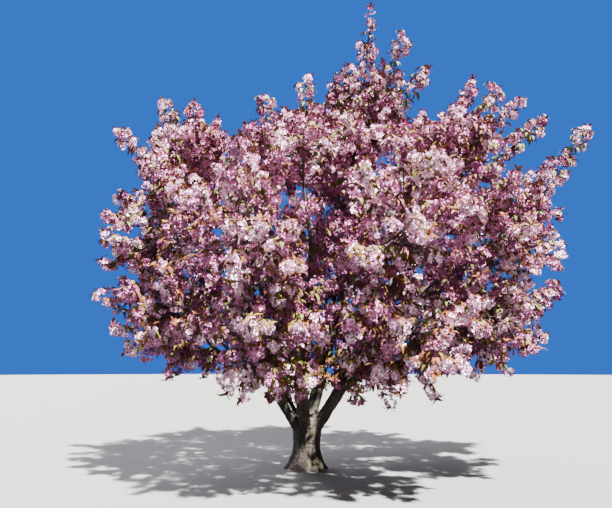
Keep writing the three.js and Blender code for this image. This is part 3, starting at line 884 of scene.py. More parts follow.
def tubes(lines, radii, sides, pointed=True):
    """Closed tubes along lines of points, N x R x 3, with radii N x R or N x R x sides.

    The frame is carried from ring to ring by taking out of the last side way its part along the line.
    The root is closed by a flat face, and the tip by a point or a flat face."""
    count, rings = lines.shape[:2]
    radii = np.broadcast_to(radii.reshape(count, rings, -1), (count, rings, sides))
    ways = unit(np.gradient(lines, axis=1))
    side = sides_of(ways[:, 0])[0]
    frames = []
    for ring in range(rings):
        way = ways[:, ring]
        side = unit(side - way * (side * way).sum(-1, keepdims=True))
        frames.append(np.stack([side, np.cross(way, side)], 1))
    frames = np.stack(frames, 1)
    out = np.einsum("sa,nrak->nrsk", level(even_turns(sides))[:, :2], frames)
    rounds = lines[:, :, None] + out * radii[..., None]
    faces = shell_faces(rings, sides)
    if not pointed:
        return repeated(rounds.reshape(count, -1, 3), faces)
    top = (rings - 1) * sides
    rounds[:, -1] = lines[:, -1, None]
    faces = np.minimum(faces, top)
    flat = (faces == np.roll(faces, 1, 1)).any(1)
    return repeated(rounds.reshape(count, -1, 3)[:, : top + 1], faces[~flat])


def joined(parts):
    """Several lists of vertices and triangles as one."""
    points, faces, start = [], [], 0
    for vertices, triangles in parts:
        points.append(vertices)
        faces.append(triangles + start)
        start += len(vertices)
    return np.concatenate(points), np.concatenate(faces)


def make_piece(name, points, faces, material, slot, nodes, smooth=False, grain=None):
    """An object from vertices and triangles that rides on the tree and stands for nodes."""
    mesh = bpy.data.meshes.new(name)
    mesh.vertices.add(len(points))
    mesh.vertices.foreach_set("co", np.ascontiguousarray(points, np.float32).ravel())
    mesh.loops.add(faces.size)
    mesh.loops.foreach_set("vertex_index", np.ascontiguousarray(faces, np.int32).ravel())
    mesh.polygons.add(len(faces))
    mesh.polygons.foreach_set("loop_start", np.arange(0, faces.size, 3, dtype=np.int32))
    mesh.polygons.foreach_set("use_smooth", np.full(len(faces), smooth))
    if grain is not None:
        layer = mesh.attributes.new("grain", "FLOAT_VECTOR", "POINT")
        layer.data.foreach_set("vector", np.ascontiguousarray(grain, np.float32).ravel())
    mesh.update(calc_edges=True)
    mesh.validate()
    mesh.materials.append(material)
    piece = bpy.data.objects.new(name, mesh)
    bpy.context.scene.collection.objects.link(piece)
    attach(piece, BODY)
    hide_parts(*nodes)
    print(f"{name}: {len(faces)} triangles")
    return piece


def ripple(points, scale, seed, waves=9):
    """Smooth noise, mostly from -1 to 1: sine waves that run in random ways, added up and divided by
    the root of their number."""
    rng = np.random.default_rng(seed)
    ways = unit(rng.normal(size=(waves, 3))) * rng.uniform(0.7, 1.5, (waves, 1))
    phases = rng.uniform(0, TAU, waves)
    total = np.zeros(points.shape[:-1])
    for way, phase in zip(ways, phases):
        total += np.sin((points * scale) @ way * TAU + phase)
    return total / math.sqrt(waves)


# Materials.


class Value:
    """A socket that can stand in a sum. An operator adds the Math node that it names."""

    def __init__(self, shader, socket):
        self.shader, self.socket = shader, socket

    def maths(self, operation, *values):
        """One Math node on these values."""
        return self.shader.node("ShaderNodeMath", {"operation": operation}, dict(enumerate(values)))

    def __add__(self, other):
        return self.maths("ADD", self, other)

    def __sub__(self, other):
        return self.maths("SUBTRACT", self, other)

    def __rsub__(self, other):
        return self.maths("SUBTRACT", other, self)

    def __mul__(self, other):
        return self.maths("MULTIPLY", self, other)

    __radd__, __rmul__ = __add__, __mul__

    def above(self, low, high):
        """0 below low, 1 above high, smooth between them."""
        sockets = {"Value": self, "From Min": low, "From Max": high}
        return self.shader.node("ShaderNodeMapRange", {"interpolation_type": "SMOOTHSTEP"}, sockets)


class Shader:
    """One material's nodes, made one by one from a type, its settings and its sockets."""

    def __init__(self, name):
        self.material = bpy.data.materials.get(name) or bpy.data.materials.new(name)
        self.material.use_nodes = True
        self.tree = self.material.node_tree
        self.tree.nodes.clear()

    def node(self, kind, settings=None, sockets=None, output=0):
        """A node of this type, with its settings made first, then its sockets set or linked."""
        made = self.tree.nodes.new(kind)
        for key, value in (settings or {}).items():
            setattr(made, key, value)
        for key, value in (sockets or {}).items():
            self.fill(made.inputs[key], value)
        return Value(self, made.outputs[output]) if len(made.outputs) else None

    def fill(self, socket, value):
        """Link a socket to another node's value, or set it."""
        if isinstance(value, Value):
            self.tree.links.new(value.socket, socket)
        else:
            socket.default_value = value

    def mixed(self, factor, first, second):
        """One colour going over into another."""
        colours = {"A": first, "B": second}
        made = self.tree.nodes.new("ShaderNodeMix")
        made.data_type = "RGBA"
        for socket in made.inputs:
            if socket.type == "RGBA":
                colour = colours[socket.name]
                self.fill(socket, colour if isinstance(colour, Value) else (*colour, 1))
            elif socket.name == "Factor" and socket.type == "VALUE":
                self.fill(socket, factor)
        return Value(self, next(s for s in made.outputs if s.type == "RGBA"))

    def coordinates(self):
        """The object's own coordinates."""
        return self.node("ShaderNodeTexCoord", {}, {}, output="Object")

    def noise(self, where, scale, detail=3.0, rough=0.55):
        """Noise from 0 to 1."""
        sockets = {"Vector": where, "Scale": scale, "Detail": detail, "Roughness": rough}
        return self.node("ShaderNodeTexNoise", {}, sockets)

    def stretched(self, where, factors):
        """A vector with its parts multiplied."""
        return self.node("ShaderNodeVectorMath", {"operation": "MULTIPLY"}, {0: where, 1: factors})

    def bump(self, height, strength, distance):
        """A normal from a height."""
        sockets = {"Height": height, "Strength": strength, "Distance": distance}
        return self.node("ShaderNodeBump", {}, sockets)

    def finish(self, **sockets):
        """The main shader, its sockets by name with spaces written as low lines."""
        named = {key.replace("_", " "): value for key, value in sockets.items()}
        skin = self.node("ShaderNodeBsdfPrincipled", {}, named)
        self.node("ShaderNodeOutputMaterial", {}, {"Surface": skin})
        return self.material


def bark_material(looks):
    """Dark furrowed bark with pale bands of breathing pores and patches of lichen."""
    shader = Shader("bark")
    grain = shader.node("ShaderNodeAttribute", {"attribute_name": "grain"}, {}, output="Vector")
    where = shader.coordinates()
    plates = shader.noise(shader.stretched(grain, (1, 1, 0.45)), scale=34, detail=5, rough=0.62)
    bands = shader.noise(shader.stretched(grain, (0.8, 0.8, 6)), scale=16, detail=2)
    patches = shader.noise(where, scale=5.5, detail=4, rough=0.6)
    specks = shader.noise(where, scale=90, detail=2)
    pores = bands.above(0.55, 0.62) * plates.above(0.4, 0.56)
    lichen = (patches + specks * 0.12).above(0.6, 0.68)
    colour = shader.mixed(plates.above(0.36, 0.62), (*looks.furrow,), (*looks.plate,))
    colour = shader.mixed(pores * 0.8, colour, (*looks.pore,))
    colour = shader.mixed(lichen * 0.75, colour, (*looks.lichen,))
    height = plates + pores * 0.35 + specks * 0.08
    return shader.finish(
        Base_Color=colour,
        Roughness=0.95 - plates * 0.2,
        Normal=shader.bump(height, strength=0.9, distance=0.018),
    )


def twig_material(looks):
    """Reddish brown young bark with fine pale specks."""
    shader = Shader("twig bark")
    where = shader.coordinates()
    tone = shader.noise(where, scale=14)
    specks = shader.noise(where, scale=260, detail=1)
    dark = tuple(0.55 * value for value in looks.twig)
    colour = shader.mixed(tone.above(0.35, 0.65), dark, (*looks.twig,))
    colour = shader.mixed(specks.above(0.64, 0.7) * 0.5, colour, (*looks.pore,))
    return shader.finish(
        Base_Color=colour,
        Roughness=0.75 - tone * 0.2,
        Normal=shader.bump(specks, strength=0.3, distance=0.002),
    )


def petal_material(name, colour):
    """Soft petals: one plain colour, half matt, with a crumpled surface."""
    shader = Shader(name)
    where = shader.coordinates()
    crumple = shader.noise(where, scale=85, rough=0.6)
    return shader.finish(
        Base_Color=(*colour, 1),
        Roughness=0.5 + crumple * 0.3,
        Normal=shader.bump(crumple, strength=0.35, distance=0.006),
    )


def leaf_material(name, colour):
    """Thin young leaves: one plain colour, half matt, with ribs in their surface."""
    shader = Shader(name)
    where = shader.coordinates()
    ribs = shader.noise(where, scale=120, detail=2)
    return shader.finish(
        Base_Color=(*colour, 1),
        Roughness=0.5 + ribs * 0.25,
        Specular_IOR_Level=0.3,
        Normal=shader.bump(ribs, strength=0.3, distance=0.004),
    )


# The tree is grown once, and its pieces are made from what has grown.


class Growth:
    """What has grown, kept for the operators.

    Sprays have one tone each, but the clusters of a leading shoot are dealt out one by one."""

    now, seed = None, 22

    def __init__(self, scene):
        trunk, crown = scene.cherry_trunk, scene.cherry_crown
        rng = np.random.default_rng(self.seed)
        self.masses = lay_out_masses(crown)
        self.limbs = lay_out_limbs(self.masses, trunk, crown)
        spaces = Spaces(self.masses, self.limbs)
        self.stems, self.shoots = grow_shoots(self.masses, spaces, crown)
        self.wands = grow_wands(self.shoots, spaces, crown, rng)
        grow_on_limbs(self.wands, self.limbs, crown, rng)
        self.flowering = flowering_lengths(self.shoots, self.wands)
        self.clusters = Clusters(self.flowering, crown, rng)
        depth, spray = self.depths(crown), self.clusters.spray
        self.inner = depth < INNER
        by_spray = self.deal_tones_and_painted_shade(depth, self.flowering.column("mass") < 0, rng)
        by_cluster = self.deal_tones_and_painted_shade(depth[spray], np.zeros(len(spray)), rng)
        leading = self.flowering.column("rank")[spray] == LEADING
        self.cluster_tones = np.where(leading, by_cluster, by_spray[spray])
        self.limb_nodes = ["trunk"] + [limb.name for limb in self.limbs]
        self.mass_nodes = [f"blossom_{mass.ring}_{mass.number}" for mass in self.masses]

    def depths(self, crown):
        """How far out each spray ends: 0 at the crown's middle, about 1 at its outline."""
        _starts, _bends, ends = self.flowering.controls()
        middle = np.array([crown.axis, 0, CROWN_MIDDLE])
        return np.linalg.norm((ends - middle) / CROWN_HALF, axis=1)

    def deal_tones_and_painted_shade(self, depth, on_limb, rng):
        """Tones for sprays or clusters: 0 pale, 1 pink, 2 rose, dealt at random. Painted shade makes
        them deeper towards the inside of the crown and on the limbs, and painted light makes the
        outermost ones a little paler."""
        # Painted shade inside the crown and on the limbs, and painted light at its outline, on top of
        # the random draw.
        inside = np.maximum(OUTER_TONES - depth, -MOST_PAINTED_LIGHT)
        draw = rng.uniform(0, 1, len(depth)) + PAINTED_SHADE_INSIDE * inside + PAINTED_SHADE_ON_LIMBS * on_limb
        return np.digitize(draw, TONE_LIMITS)


def growth():
    """What has grown, made the first time that it is asked for."""
    if Growth.now is None:
        Growth.now = Growth(bpy.context.scene)
    return Growth.now


def settled_mesh(points, faces, voxel, smoothing):
    """Overlapping closed shells fused into one skin of even squares and smoothed: its vertices and
    triangles."""
    mesh = bpy.data.meshes.new("rough")
    mesh.from_pydata(points.tolist(), [], faces.tolist())
    rough = bpy.data.objects.new("rough", mesh)
    bpy.context.scene.collection.objects.link(rough)
    remesh = rough.modifiers.new("fuse", "REMESH")
    remesh.mode, remesh.voxel_size = "VOXEL", voxel
    smooth = rough.modifiers.new("smooth", "SMOOTH")
    smooth.factor, smooth.iterations = 0.5, smoothing
    rough.modifiers.new("triangles", "TRIANGULATE")
    depsgraph = bpy.context.evaluated_depsgraph_get()
    fused = rough.evaluated_get(depsgraph).to_mesh()
    vertices = np.empty(len(fused.vertices) * 3, np.float32)
    normals = np.empty(len(fused.vertices) * 3, np.float32)
    corners = np.empty(len(fused.loops), np.int32)
    fused.vertices.foreach_get("co", vertices)
    fused.vertices.foreach_get("normal", normals)
    fused.loops.foreach_get("vertex_index", corners)
    bpy.data.objects.remove(rough)
    bpy.data.meshes.remove(mesh)
    return vertices.reshape(-1, 3), normals.reshape(-1, 3), corners.reshape(-1, 3)


def bark_relief(grain):
    """Height of the bark, mostly from -1 to 1: 0.45 of broad swells, 0.75 and 0.35 of wide and fine
    plates, with furrows between them where sine noise crosses nought, and 0.16 of bands that run
    round, less 0.5."""
    swell = ripple(grain, np.array([3.0, 3.0, 2.0]), 1)
    plates = np.abs(ripple(grain, np.array([9.0, 9.0, 4.0]), 2))
    fine = np.abs(ripple(grain, np.array([17.0, 17.0, 9.0]), 3))
    bands = ripple(grain, np.array([3.0, 3.0, 26.0]), 4)
    plates, fine = np.minimum(plates, 0.8), np.minimum(fine, 0.8)
    return 0.45 * swell + 0.75 * plates + 0.35 * fine + 0.16 * bands - 0.5


class CHERRY_OT_trunk(Operator):
    """Make the trunk and the roots of its boughs as one skin with the bark's relief"""

    bl_idname = "cherry.trunk"
    bl_label = "Trunk"

    # The shell starts below the ground, where it is cut off, and closes to a small ring at the top.
    below, top, rounds, corners = 0.1, 0.02, 48, 72
    # The part of each bough that is fused with it goes from thicker to thinner than the bough.
    root_length, root_fade, root_rings, root_corners = 0.55, (1.12, 0.86), 12, 16

    def execute(self, context):
        trunk, tree = context.scene.cherry_trunk, growth()
        heights = np.linspace(-self.below, trunk.height, self.rounds)
        high, turn = np.meshgrid(heights, even_turns(self.corners), indexing="ij")
        radius = trunk_radius(high, turn, trunk)
        radius[-1] = self.top
        rounds = trunk_middle(high, trunk) + level(turn) * radius[..., None]
        parts = [(rounds.reshape(-1, 3), shell_faces(self.rounds, self.corners))]
        fade = np.linspace(*self.root_fade, self.root_rings)
        for limb in (limb for limb in tree.limbs if limb.name.startswith("bough")):
            shares = np.linspace(0, self.root_length / limb.curve.length, self.root_rings)
            line, radii = limb.curve.points(shares), limb.radii(shares) * fade
            parts.append(tubes(line[None], radii[None], self.root_corners, pointed=False))
        points, normals, faces = settled_mesh(*joined(parts), voxel=0.0125, smoothing=14)
        grain = points.copy()
        points = points + normals * (trunk.relief * bark_relief(grain))[:, None]
        piece = make_piece(
            "trunk_bark", points, faces, bark_material(context.scene.cherry_bark), "bark",
            tree.limb_nodes[:1], smooth=True, grain=grain,
        )
        cut_at_ground(piece)
        return {"FINISHED"}


def cut_at_ground(piece):
    """Cut off what lies below the ground and close the cut with a flat face."""
    shape = bmesh.new()
    shape.from_mesh(piece.data)
    everything = [*shape.verts, *shape.edges, *shape.faces]
    cut = bmesh.ops.bisect_plane(
        shape, geom=everything, plane_co=(0, 0, 0), plane_no=(0, 0, 1), clear_inner=True
    )["geom_cut"]
    rim = [edge for edge in cut if isinstance(edge, bmesh.types.BMEdge)]
    for edge in rim:
        for vertex in edge.verts:
            vertex.co.z = 0.0
    foot = bmesh.ops.edgenet_fill(shape, edges=rim)["faces"]
    for face in foot:
        face.smooth = False
    bmesh.ops.triangulate(shape, faces=foot)
    bmesh.ops.recalc_face_normals(shape, faces=shape.faces)
    shape.to_mesh(piece.data)
    shape.free()


class CHERRY_OT_limbs(Operator):
    """Make the boughs and branches as tapering tubes with the bark's relief"""

    bl_idname = "cherry.limbs"
    bl_label = "Boughs and branches"

    # The relief is full from one radius up, and knots stand out by a share of the radius.
    corners, ring_step, full_relief, knots = 14, 0.03, 0.08, 0.06

    def execute(self, context):
        trunk, tree = context.scene.cherry_trunk, growth()
        around, parts, grains = level(even_turns(self.corners)), [], []
        for number, limb in enumerate(tree.limbs):
            shares = np.linspace(0, 1, int(limb.curve.length / self.ring_step) + 2)
            radii = limb.radii(shares)[:, None]
            along = shares * limb.curve.length + number
            grain = around * radii[..., None] + along[:, None, None] * UP
            relief = bark_relief(grain) * trunk.relief * np.clip(radii / self.full_relief, 0.3, 1)
            knots = ripple(grain, np.array([2.0, 2.0, 3.2]), 7) * self.knots * radii
            line, radii = limb.curve.points(shares), radii + relief + knots
            parts.append(tubes(line[None], radii[None], self.corners, pointed=False))
            grains.append(grain.reshape(-1, 3))
        points, faces = joined(parts)
        make_piece(
            "limb_bark", points, faces, bark_material(context.scene.cherry_bark), "bark",
            tree.limb_nodes[1:], smooth=True, grain=np.concatenate(grains),
        )
        return {"FINISHED"}


class CHERRY_OT_twigs(Operator):
    """Make the stems, the shoots, the side shoots and the spurs"""

    bl_idname = "cherry.twigs"
    bl_label = "Twigs"

    # A stem's radius at its root is a share of its limb's.
    stem_rings, stem_root, stem_tip = 14, 0.98, 0.01
    shoot_rings, side_shoot_rings, spur_radius = 9, 4, 0.0028

    def execute(self, context):
        tree = growth()
        material = twig_material(context.scene.cherry_bark)
        old = [*(self.stem(*stem) for stem in tree.stems), self.shoots(tree)]
        young = [self.side_shoots(tree), self.spurs(tree)]
        for name, parts in (("shoots", old), ("side_shoots", young)):
            points, faces = joined(parts)
            make_piece(name, points, faces, material, "bark", tree.mass_nodes, smooth=True)
        return {"FINISHED"}

    def stem(self, curve, thick):
        """A mass's stem, which goes on a little thinner than its limb ends."""
        shares = np.linspace(0, 1, self.stem_rings)
        radii = np.linspace(thick * self.stem_root, self.stem_tip, self.stem_rings)
        return tubes(curve.points(shares)[None], radii[None], sides=8)

    def shoots(self, tree):
        """All shoots. The radius at a share s is root (1 - s)^0.7 + 0.002, where the root is 0.006 and
        0.0065 of the length, at most 0.018. Kinks to the side are widest in the middle, as sin(pi s)."""
        shares = np.linspace(0, 1, self.shoot_rings)
        lines = np.stack([curve.points(shares) for curve, *_ in tree.shoots])
        roots = np.array([0.006 + 0.0065 * curve.length for curve, *_ in tree.shoots])
        radii = np.minimum(roots, 0.018)[:, None] * (1 - shares) ** 0.7 + 0.002
        kinks = ripple(lines, np.array([2.2, 2.2, 2.2]), 11)[..., None] * 0.014
        kinks = kinks * np.sin(np.pi * shares)[:, None]
        lines = lines + kinks * sides_of(unit(lines[:, -1] - lines[:, 0]))[0][:, None]
        return tubes(lines, radii, sides=5)

    def side_shoots(self, tree):
        """All side shoots and the short shoots on the limbs."""
        shares = np.linspace(0, 1, self.side_shoot_rings)
        lines = bezier([control[:, None] for control in tree.wands.controls()], shares[:, None])
        thick, thin = tree.wands.column("thick"), tree.wands.column("thin")
        return tubes(lines, thick[:, None] + (thin - thick)[:, None] * shares, sides=3)

    def spurs(self, tree):
        """The spur that each cluster sits on."""
        lines = np.stack([tree.clusters.on_twig, tree.clusters.middle], 1)
        return tubes(lines, np.full(lines.shape[:2], self.spur_radius), sides=3)


def tier(petals, reach, shoulder, wide, rise, tip_rise, first=0.0):
    """A ring of petals: each is two triangles that meet along its middle line. Their corners are the
    flower's middle, the petal's shoulders at a share of its reach, and its blunt tip. The petals curl
    up and down in turn, by the sine of 2.4 times their number."""
    outward = level(first + even_turns(petals))
    sideways = np.cross(UP, outward)
    curl = UP * np.sin(2.4 * np.arange(petals))[:, None]
    base = outward * 0.06
    left = outward * reach * shoulder + sideways * wide / 2 + UP * rise + curl * 0.14
    right = outward * reach * shoulder - sideways * wide / 2 + UP * (rise * 0.72) + curl * 0.2
    tip = outward * reach + UP * tip_rise + curl * 0.26
    points = np.stack([base, right, tip, left], 1).reshape(-1, 3)
    start = np.arange(petals)[:, None] * 4
    faces = np.concatenate([start + [0, 1, 2], start + [0, 2, 3]])
    return points, faces


def ruffle(petals, reach, wide, rise, first):
    """The ruffled heart of a double flower: a ring of single triangles that stand up and out from its
    middle, each turned a little out of the ring."""
    outward = level(first + even_turns(petals))
    sideways = np.cross(UP, outward)
    base = outward * 0.02 + UP * 0.04
    left = outward * reach + sideways * wide / 2 + UP * rise
    right = outward * reach * 0.7 - sideways * wide / 2 + UP * rise * 1.15
    points = np.stack([base, right, left], 1).reshape(-1, 3)
    return points, np.arange(petals * 3).reshape(-1, 3)


def blades(roots, ends, wide):
    """Stalks as one thin blade each, wide at the flower and pointed at the root."""
    side = sides_of(unit(ends - roots))[0]
    points = np.stack([roots, ends - side * wide / 2, ends + side * wide / 2], 1)
    return points.reshape(-1, 3), np.arange(len(roots) * 3).reshape(-1, 3)


class CHERRY_OT_blossom(Operator):
    """Make the double flowers in their clusters, with outer petals, inner petals and stalks"""

    bl_idname = "cherry.blossom"
    bl_label = "Blossom"

    # Flowers more in a full cluster, and how much larger they are inside the crown.
    seed, more_when_full, larger_inside = 31, 2, 0.2
    # The cosine of a flower's lean falls from a first value by a span over the cluster.
    first_slant, slants, cluster_turn = 0.9, 1.45, 2.4
    off_slant, off_turn, off_facing = 0.3, 0.5, 0.28
    # The least and the most of the usual stalk and size, and how far a flower hangs down.
    stalks, sizes, hangs = (0.75, 1.15), (0.82, 1.14), 0.008
    # How far past the flower's middle a stalk ends, and how wide it is there.
    stalk_end, stalk_width = 0.003, 0.0035

    def execute(self, context):
        looks, tree = context.scene.cherry_blossom, growth()
        clusters, rng = tree.clusters, np.random.default_rng(self.seed)
        inside = tree.inner[clusters.spray]
        full = looks.flowers + self.more_when_full * clusters.full
        flowers = np.where(inside | clusters.thin, looks.inner_flowers, full)
        flowers[clusters.leafy] = 0
        owner, order = counted(flowers)
        count = len(order)
        off_slant = either_way(rng, self.off_slant, count)
        slant = self.first_slant - (order + off_slant) / flowers[owner] * self.slants
        off_turn = either_way(rng, self.off_turn, count)
        turns = order * GOLDEN_ANGLE + owner * self.cluster_turn + off_turn
        ways = fanned(clusters.out[owner], np.arccos(np.clip(slant, -1, 1)), turns)
        stalks = looks.stalk * rng.uniform(*self.stalks, count)
        middles = clusters.middle[owner] + ways * stalks[:, None] - UP * self.hangs
        facing = unit(ways + rng.normal(0, self.off_facing, ways.shape))
        larger = 1 + self.larger_inside * inside[owner]
        sizes = looks.radius * rng.uniform(*self.sizes, count) * larger
        rolls = rng.uniform(0, TAU, count)
        shapes = {
            "": tier(petals=5, reach=1.0, shoulder=0.62, wide=0.86, rise=0.26, tip_rise=0.04),
            # The hearts take the heart colours: the flower's own deeper middle, and painted shade there.
            "heart_": ruffle(petals=4, reach=0.6, wide=0.78, rise=0.66, first=0.4),
        }
        for tone, name in enumerate(("pale", "pink", "rose")):
            mine = tree.cluster_tones[owner] == tone
            placed = middles[mine], facing[mine], rolls[mine], sizes[mine]
            for part, shape in shapes.items():
                material = petal_material(f"{part}{name} petals", getattr(looks, part + name))
                points, faces = place_shapes(*shape, *placed)
                make_piece(f"{part}petals_{name}", points, faces, material, "blossom", tree.mass_nodes)
        ends = middles + facing * self.stalk_end
        points, faces = blades(clusters.middle[owner], ends, self.stalk_width)
        material = leaf_material("stalks", context.scene.cherry_leaf.olive)
        make_piece("flower_stalks", points, faces, material, "young_leaf", tree.mass_nodes)
        return {"FINISHED"}


def leaf_shape():
    """A pointed leaf along X, folded along its rib and drooping: six triangles."""
    points = np.array([
        [0, 0, 0], [0.33, -0.145, 0.1], [0.33, 0.145, 0.1], [0.48, 0, 0.02],
        [0.66, -0.13, -0.11], [0.66, 0.13, -0.11], [0.87, 0, -0.48],
    ])
    faces = np.array([[0, 1, 3], [0, 3, 2], [1, 4, 3], [2, 3, 5], [3, 4, 5], [4, 6, 5]])
    return points, faces


def place_leaves(roots, ways, backs, lengths):
    """Leaves set at their roots, along ways, with their upper faces turned to backs."""
    across = unit(np.cross(backs, ways))
    return placed_copies(*leaf_shape(), roots, [ways, across, np.cross(ways, across)], lengths)


class CHERRY_OT_leaves(Operator):
    """Make the young leaves: drooping rosettes over the clusters and upright tufts at the tips"""

    bl_idname = "cherry.leaves"
    bl_label = "Young leaves"

    # How often a cluster has a rosette: a leafy or thin one, and others outside and inside the crown.
    seed, often_on_leafy, often_outside, often_inside = 47, 0.9, 0.95, 0.6
    # A rosette's turn from cluster to cluster, and how far its leaves lead out along the spur.
    rosette_turn, rosette_off_turn, rosette_out = 1.9, 0.8, 0.15
    # Its leaves' droop and length from least to most, and their roots: out along the spur, and up.
    rosette_droops, rosette_lengths, rosette_root = (-0.6, 0.1), (0.7, 1.25), (0.015, 0.07)
    # The same for a tuft's leaves, which lean off its axis.
    tuft_off_turn, tuft_leans, tuft_lengths = 1.0, (0.25, 0.95), (0.57, 1.18)
    # How far a tuft turns up, on rising and on hanging tips, and how far its leaves' backs turn out.
    tuft_lift, hanging_tuft_lift, tuft_folds, tuft_root = 0.9, 0.1, 0.3, 0.03

    def execute(self, context):
        looks, tree = context.scene.cherry_leaf, growth()
        rng = np.random.default_rng(self.seed)
        shows = ~tree.inner[tree.clusters.spray]
        groups = [self.rosettes(looks, tree, shows, rng), self.tufts(looks, tree, shows, rng)]
        for number, name in enumerate(("copper", "bronze", "olive")):
            parts = [
                place_leaves(*(part[tones == number] for part in leaves)) for leaves, tones in groups
            ]
            material = leaf_material(f"{name} leaves", getattr(looks, name))
            make_piece(f"leaves_{name}", *joined(parts), material, "young_leaf", tree.mass_nodes)
        return {"FINISHED"}

    def rosettes(self, looks, tree, shows, rng):
        """Leaves that spread level and droop over the clusters, and their tones by spray."""
        clusters = tree.clusters
        often = np.where(shows, self.often_outside, self.often_inside)
        often = np.where(clusters.thin | clusters.leafy, self.often_on_leafy, often)
        some = rng.uniform(0, 1, len(often)) < often
        with_rosette = np.flatnonzero(some & ~clusters.at_tip)
        owner = np.repeat(with_rosette, looks.rosette)
        count, out = len(owner), clusters.out[owner]
        turns = np.tile(even_turns(looks.rosette), len(with_rosette)) + owner * self.rosette_turn
        turns = turns + either_way(rng, self.rosette_off_turn, count)
        droops = UP * rng.uniform(*self.rosette_droops, (count, 1))
        ways = unit(level(turns) + out * self.rosette_out + droops)
        backs = unit(UP + out * self.rosette_out)
        roots = clusters.middle[owner] + out * self.rosette_root[0] + UP * self.rosette_root[1]
        lengths = looks.length * rng.uniform(*self.rosette_lengths, count)
        tones = rng.choice([0, 1, 1, 2, 2], len(tree.inner))[clusters.spray[owner]]
        return (roots, ways, backs, lengths), tones

    def tufts(self, looks, tree, shows, rng):
        """Leaves that stand up round the tips of shoots, and their tones by spray."""
        clusters = tree.clusters
        tips = np.flatnonzero(clusters.at_tip & shows)
        owner = np.repeat(tips, looks.tuft)
        count, out = len(owner), clusters.out[owner]
        turns = np.tile(np.arange(looks.tuft), len(tips)) * GOLDEN_ANGLE + owner
        turns = turns + either_way(rng, self.tuft_off_turn, count)
        leans = rng.uniform(*self.tuft_leans, count)
        upward = unit(out + UP * np.where(out[:, 2:] > 0, self.tuft_lift, self.hanging_tuft_lift))
        ways = fanned(upward, leans, turns)
        backs = unit(upward - ways * self.tuft_folds)
        roots = clusters.middle[owner] + out * self.tuft_root
        lengths = looks.length * rng.uniform(*self.tuft_lengths, count)
        tones = rng.choice([0, 0, 1], len(tree.inner))[clusters.spray[owner]]
        return (roots, ways, backs, lengths), tones


def studio_world(looks):
    """Soft light all round, and a plain backdrop where nothing else is seen."""
    world = bpy.data.worlds.new("studio")
    world.use_nodes = True
    tree = world.node_tree
    shown = tree.nodes["Background"]
    shown.inputs["Color"].default_value = (*looks.backdrop, 1)
    soft = tree.nodes.new("ShaderNodeBackground")
    soft.inputs["Color"].default_value = (*looks.fill, 1)
    soft.inputs["Strength"].default_value = looks.around
    rays, either = tree.nodes.new("ShaderNodeLightPath"), tree.nodes.new("ShaderNodeMixShader")
    tree.links.new(rays.outputs["Is Camera Ray"], either.inputs[0])
    tree.links.new(soft.outputs[0], either.inputs[1])
    tree.links.new(shown.outputs[0], either.inputs[2])
    tree.links.new(either.outputs[0], tree.nodes["World Output"].inputs["Surface"])
    return world


def shine(name, strength, wide, colour, off_top, bearing):
    """An even light from one side: its width, its angle off the top and its bearing, in degrees
    from the viewer to the right."""
    light = bpy.data.lights.new(name, "SUN")
    light.energy, light.angle, light.color = strength, math.radians(wide), colour
    lamp = bpy.data.objects.new(name, light)
    lamp.rotation_euler = (math.radians(off_top), 0, math.radians(bearing))
    bpy.context.scene.collection.objects.link(lamp)


def floor_material(looks):
    """A matt floor that looks pale, and gives back as little light to the tree as dull ground does."""
    shader = Shader("floor")
    where = shader.coordinates()
    grit = shader.noise(where, scale=40, detail=2).above(0.2, 0.8)
    shown = shader.mixed(grit, tuple(0.96 * value for value in looks.floor), (*looks.floor,))
    seen = shader.node("ShaderNodeLightPath", {}, {}, output="Is Camera Ray")
    return shader.finish(Base_Color=shader.mixed(seen, (*looks.bounce,), shown), Roughness=0.9)


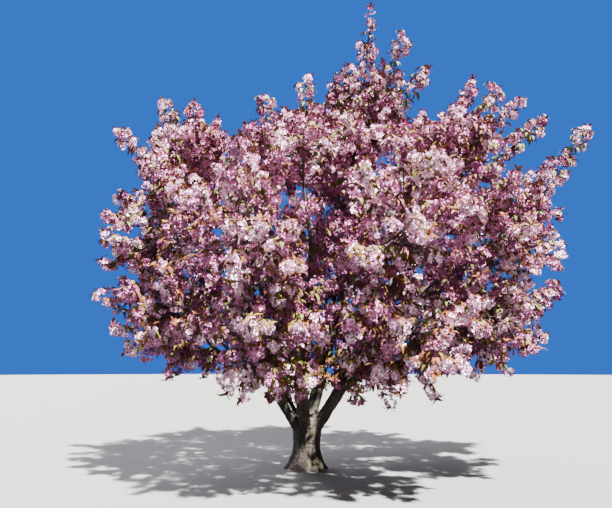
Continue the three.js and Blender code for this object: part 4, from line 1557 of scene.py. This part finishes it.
class CHERRY_OT_stage(Operator):
    """Make the floor, the backdrop, the lights and the camera"""

    bl_idname = "cherry.stage"
    bl_label = "Stage"

    def execute(self, context):
        looks = context.scene.cherry_stage
        material = floor_material(looks)
        mesh = bpy.data.meshes.new("floor")
        rim = level(even_turns(FLOOR_CORNERS)) * FLOOR_RADIUS - UP * FLOOR_UNDER
        mesh.from_pydata(rim.tolist(), [], [tuple(range(FLOOR_CORNERS))])
        mesh.materials.append(material)
        floor = bpy.data.objects.new("floor", mesh)
        context.scene.collection.objects.link(floor)

        context.scene.world = studio_world(looks)

        shine("key", looks.key, wide=2, colour=(1.0, 0.97, 0.96), off_top=30, bearing=28)
        shine("back", looks.back, wide=70, colour=(0.9, 0.9, 1.0), off_top=52, bearing=222)

        lens = bpy.data.cameras.new("camera")
        lens.lens, lens.sensor_width = looks.lens, 36
        lens.clip_start, lens.clip_end = 0.1, 300
        camera = bpy.data.objects.new("camera", lens)
        camera.location = (0, -looks.distance, looks.eye_height)
        camera.rotation_euler = (math.pi / 2 + looks.pitch, 0, 0)
        context.scene.collection.objects.link(camera)
        context.scene.camera = camera
        return {"FINISHED"}


class CHERRY_PT_panel(Panel):
    """Lists the pieces of the tree and their sizes"""

    bl_idname = "CHERRY_PT_panel"
    bl_label = "Flowering cherry"
    bl_space_type = "VIEW_3D"
    bl_region_type = "UI"
    bl_category = "Cherry"

    def draw(self, context):
        for operator in OPERATORS:
            self.layout.operator(operator.bl_idname)
        for label in SETTINGS:
            group = getattr(context.scene, label)
            box = self.layout.box()
            box.label(text=label.replace("cherry_", "").capitalize())
            for key in group.bl_rna.properties.keys():
                if key not in ("rna_type", "name"):
                    box.prop(group, key)


SETTINGS = {
    "cherry_trunk": TrunkSizes,
    "cherry_crown": CrownSizes,
    "cherry_blossom": BlossomLooks,
    "cherry_leaf": LeafLooks,
    "cherry_bark": BarkLooks,
    "cherry_stage": StageLooks,
}
OPERATORS = (
    CHERRY_OT_stage,
    CHERRY_OT_trunk,
    CHERRY_OT_limbs,
    CHERRY_OT_twigs,
    CHERRY_OT_blossom,
    CHERRY_OT_leaves,
)


def register():
    """Make the settings, the operators and the panel known."""
    for cls in (*SETTINGS.values(), *OPERATORS, CHERRY_PT_panel):
        bpy.utils.register_class(cls)
    for label, cls in SETTINGS.items():
        setattr(bpy.types.Scene, label, PointerProperty(type=cls))


def unregister():
    """Take them away again."""
    for label in SETTINGS:
        delattr(bpy.types.Scene, label)
    for cls in reversed((*SETTINGS.values(), *OPERATORS, CHERRY_PT_panel)):
        bpy.utils.unregister_class(cls)


def main():
    """Make every piece in order; each piece prints how many triangles it has."""
    register()
    bpy.ops.cherry.stage()
    bpy.ops.cherry.trunk()
    bpy.ops.cherry.limbs()
    bpy.ops.cherry.twigs()
    bpy.ops.cherry.blossom()
    bpy.ops.cherry.leaves()


if __name__ == "__main__":
    main()
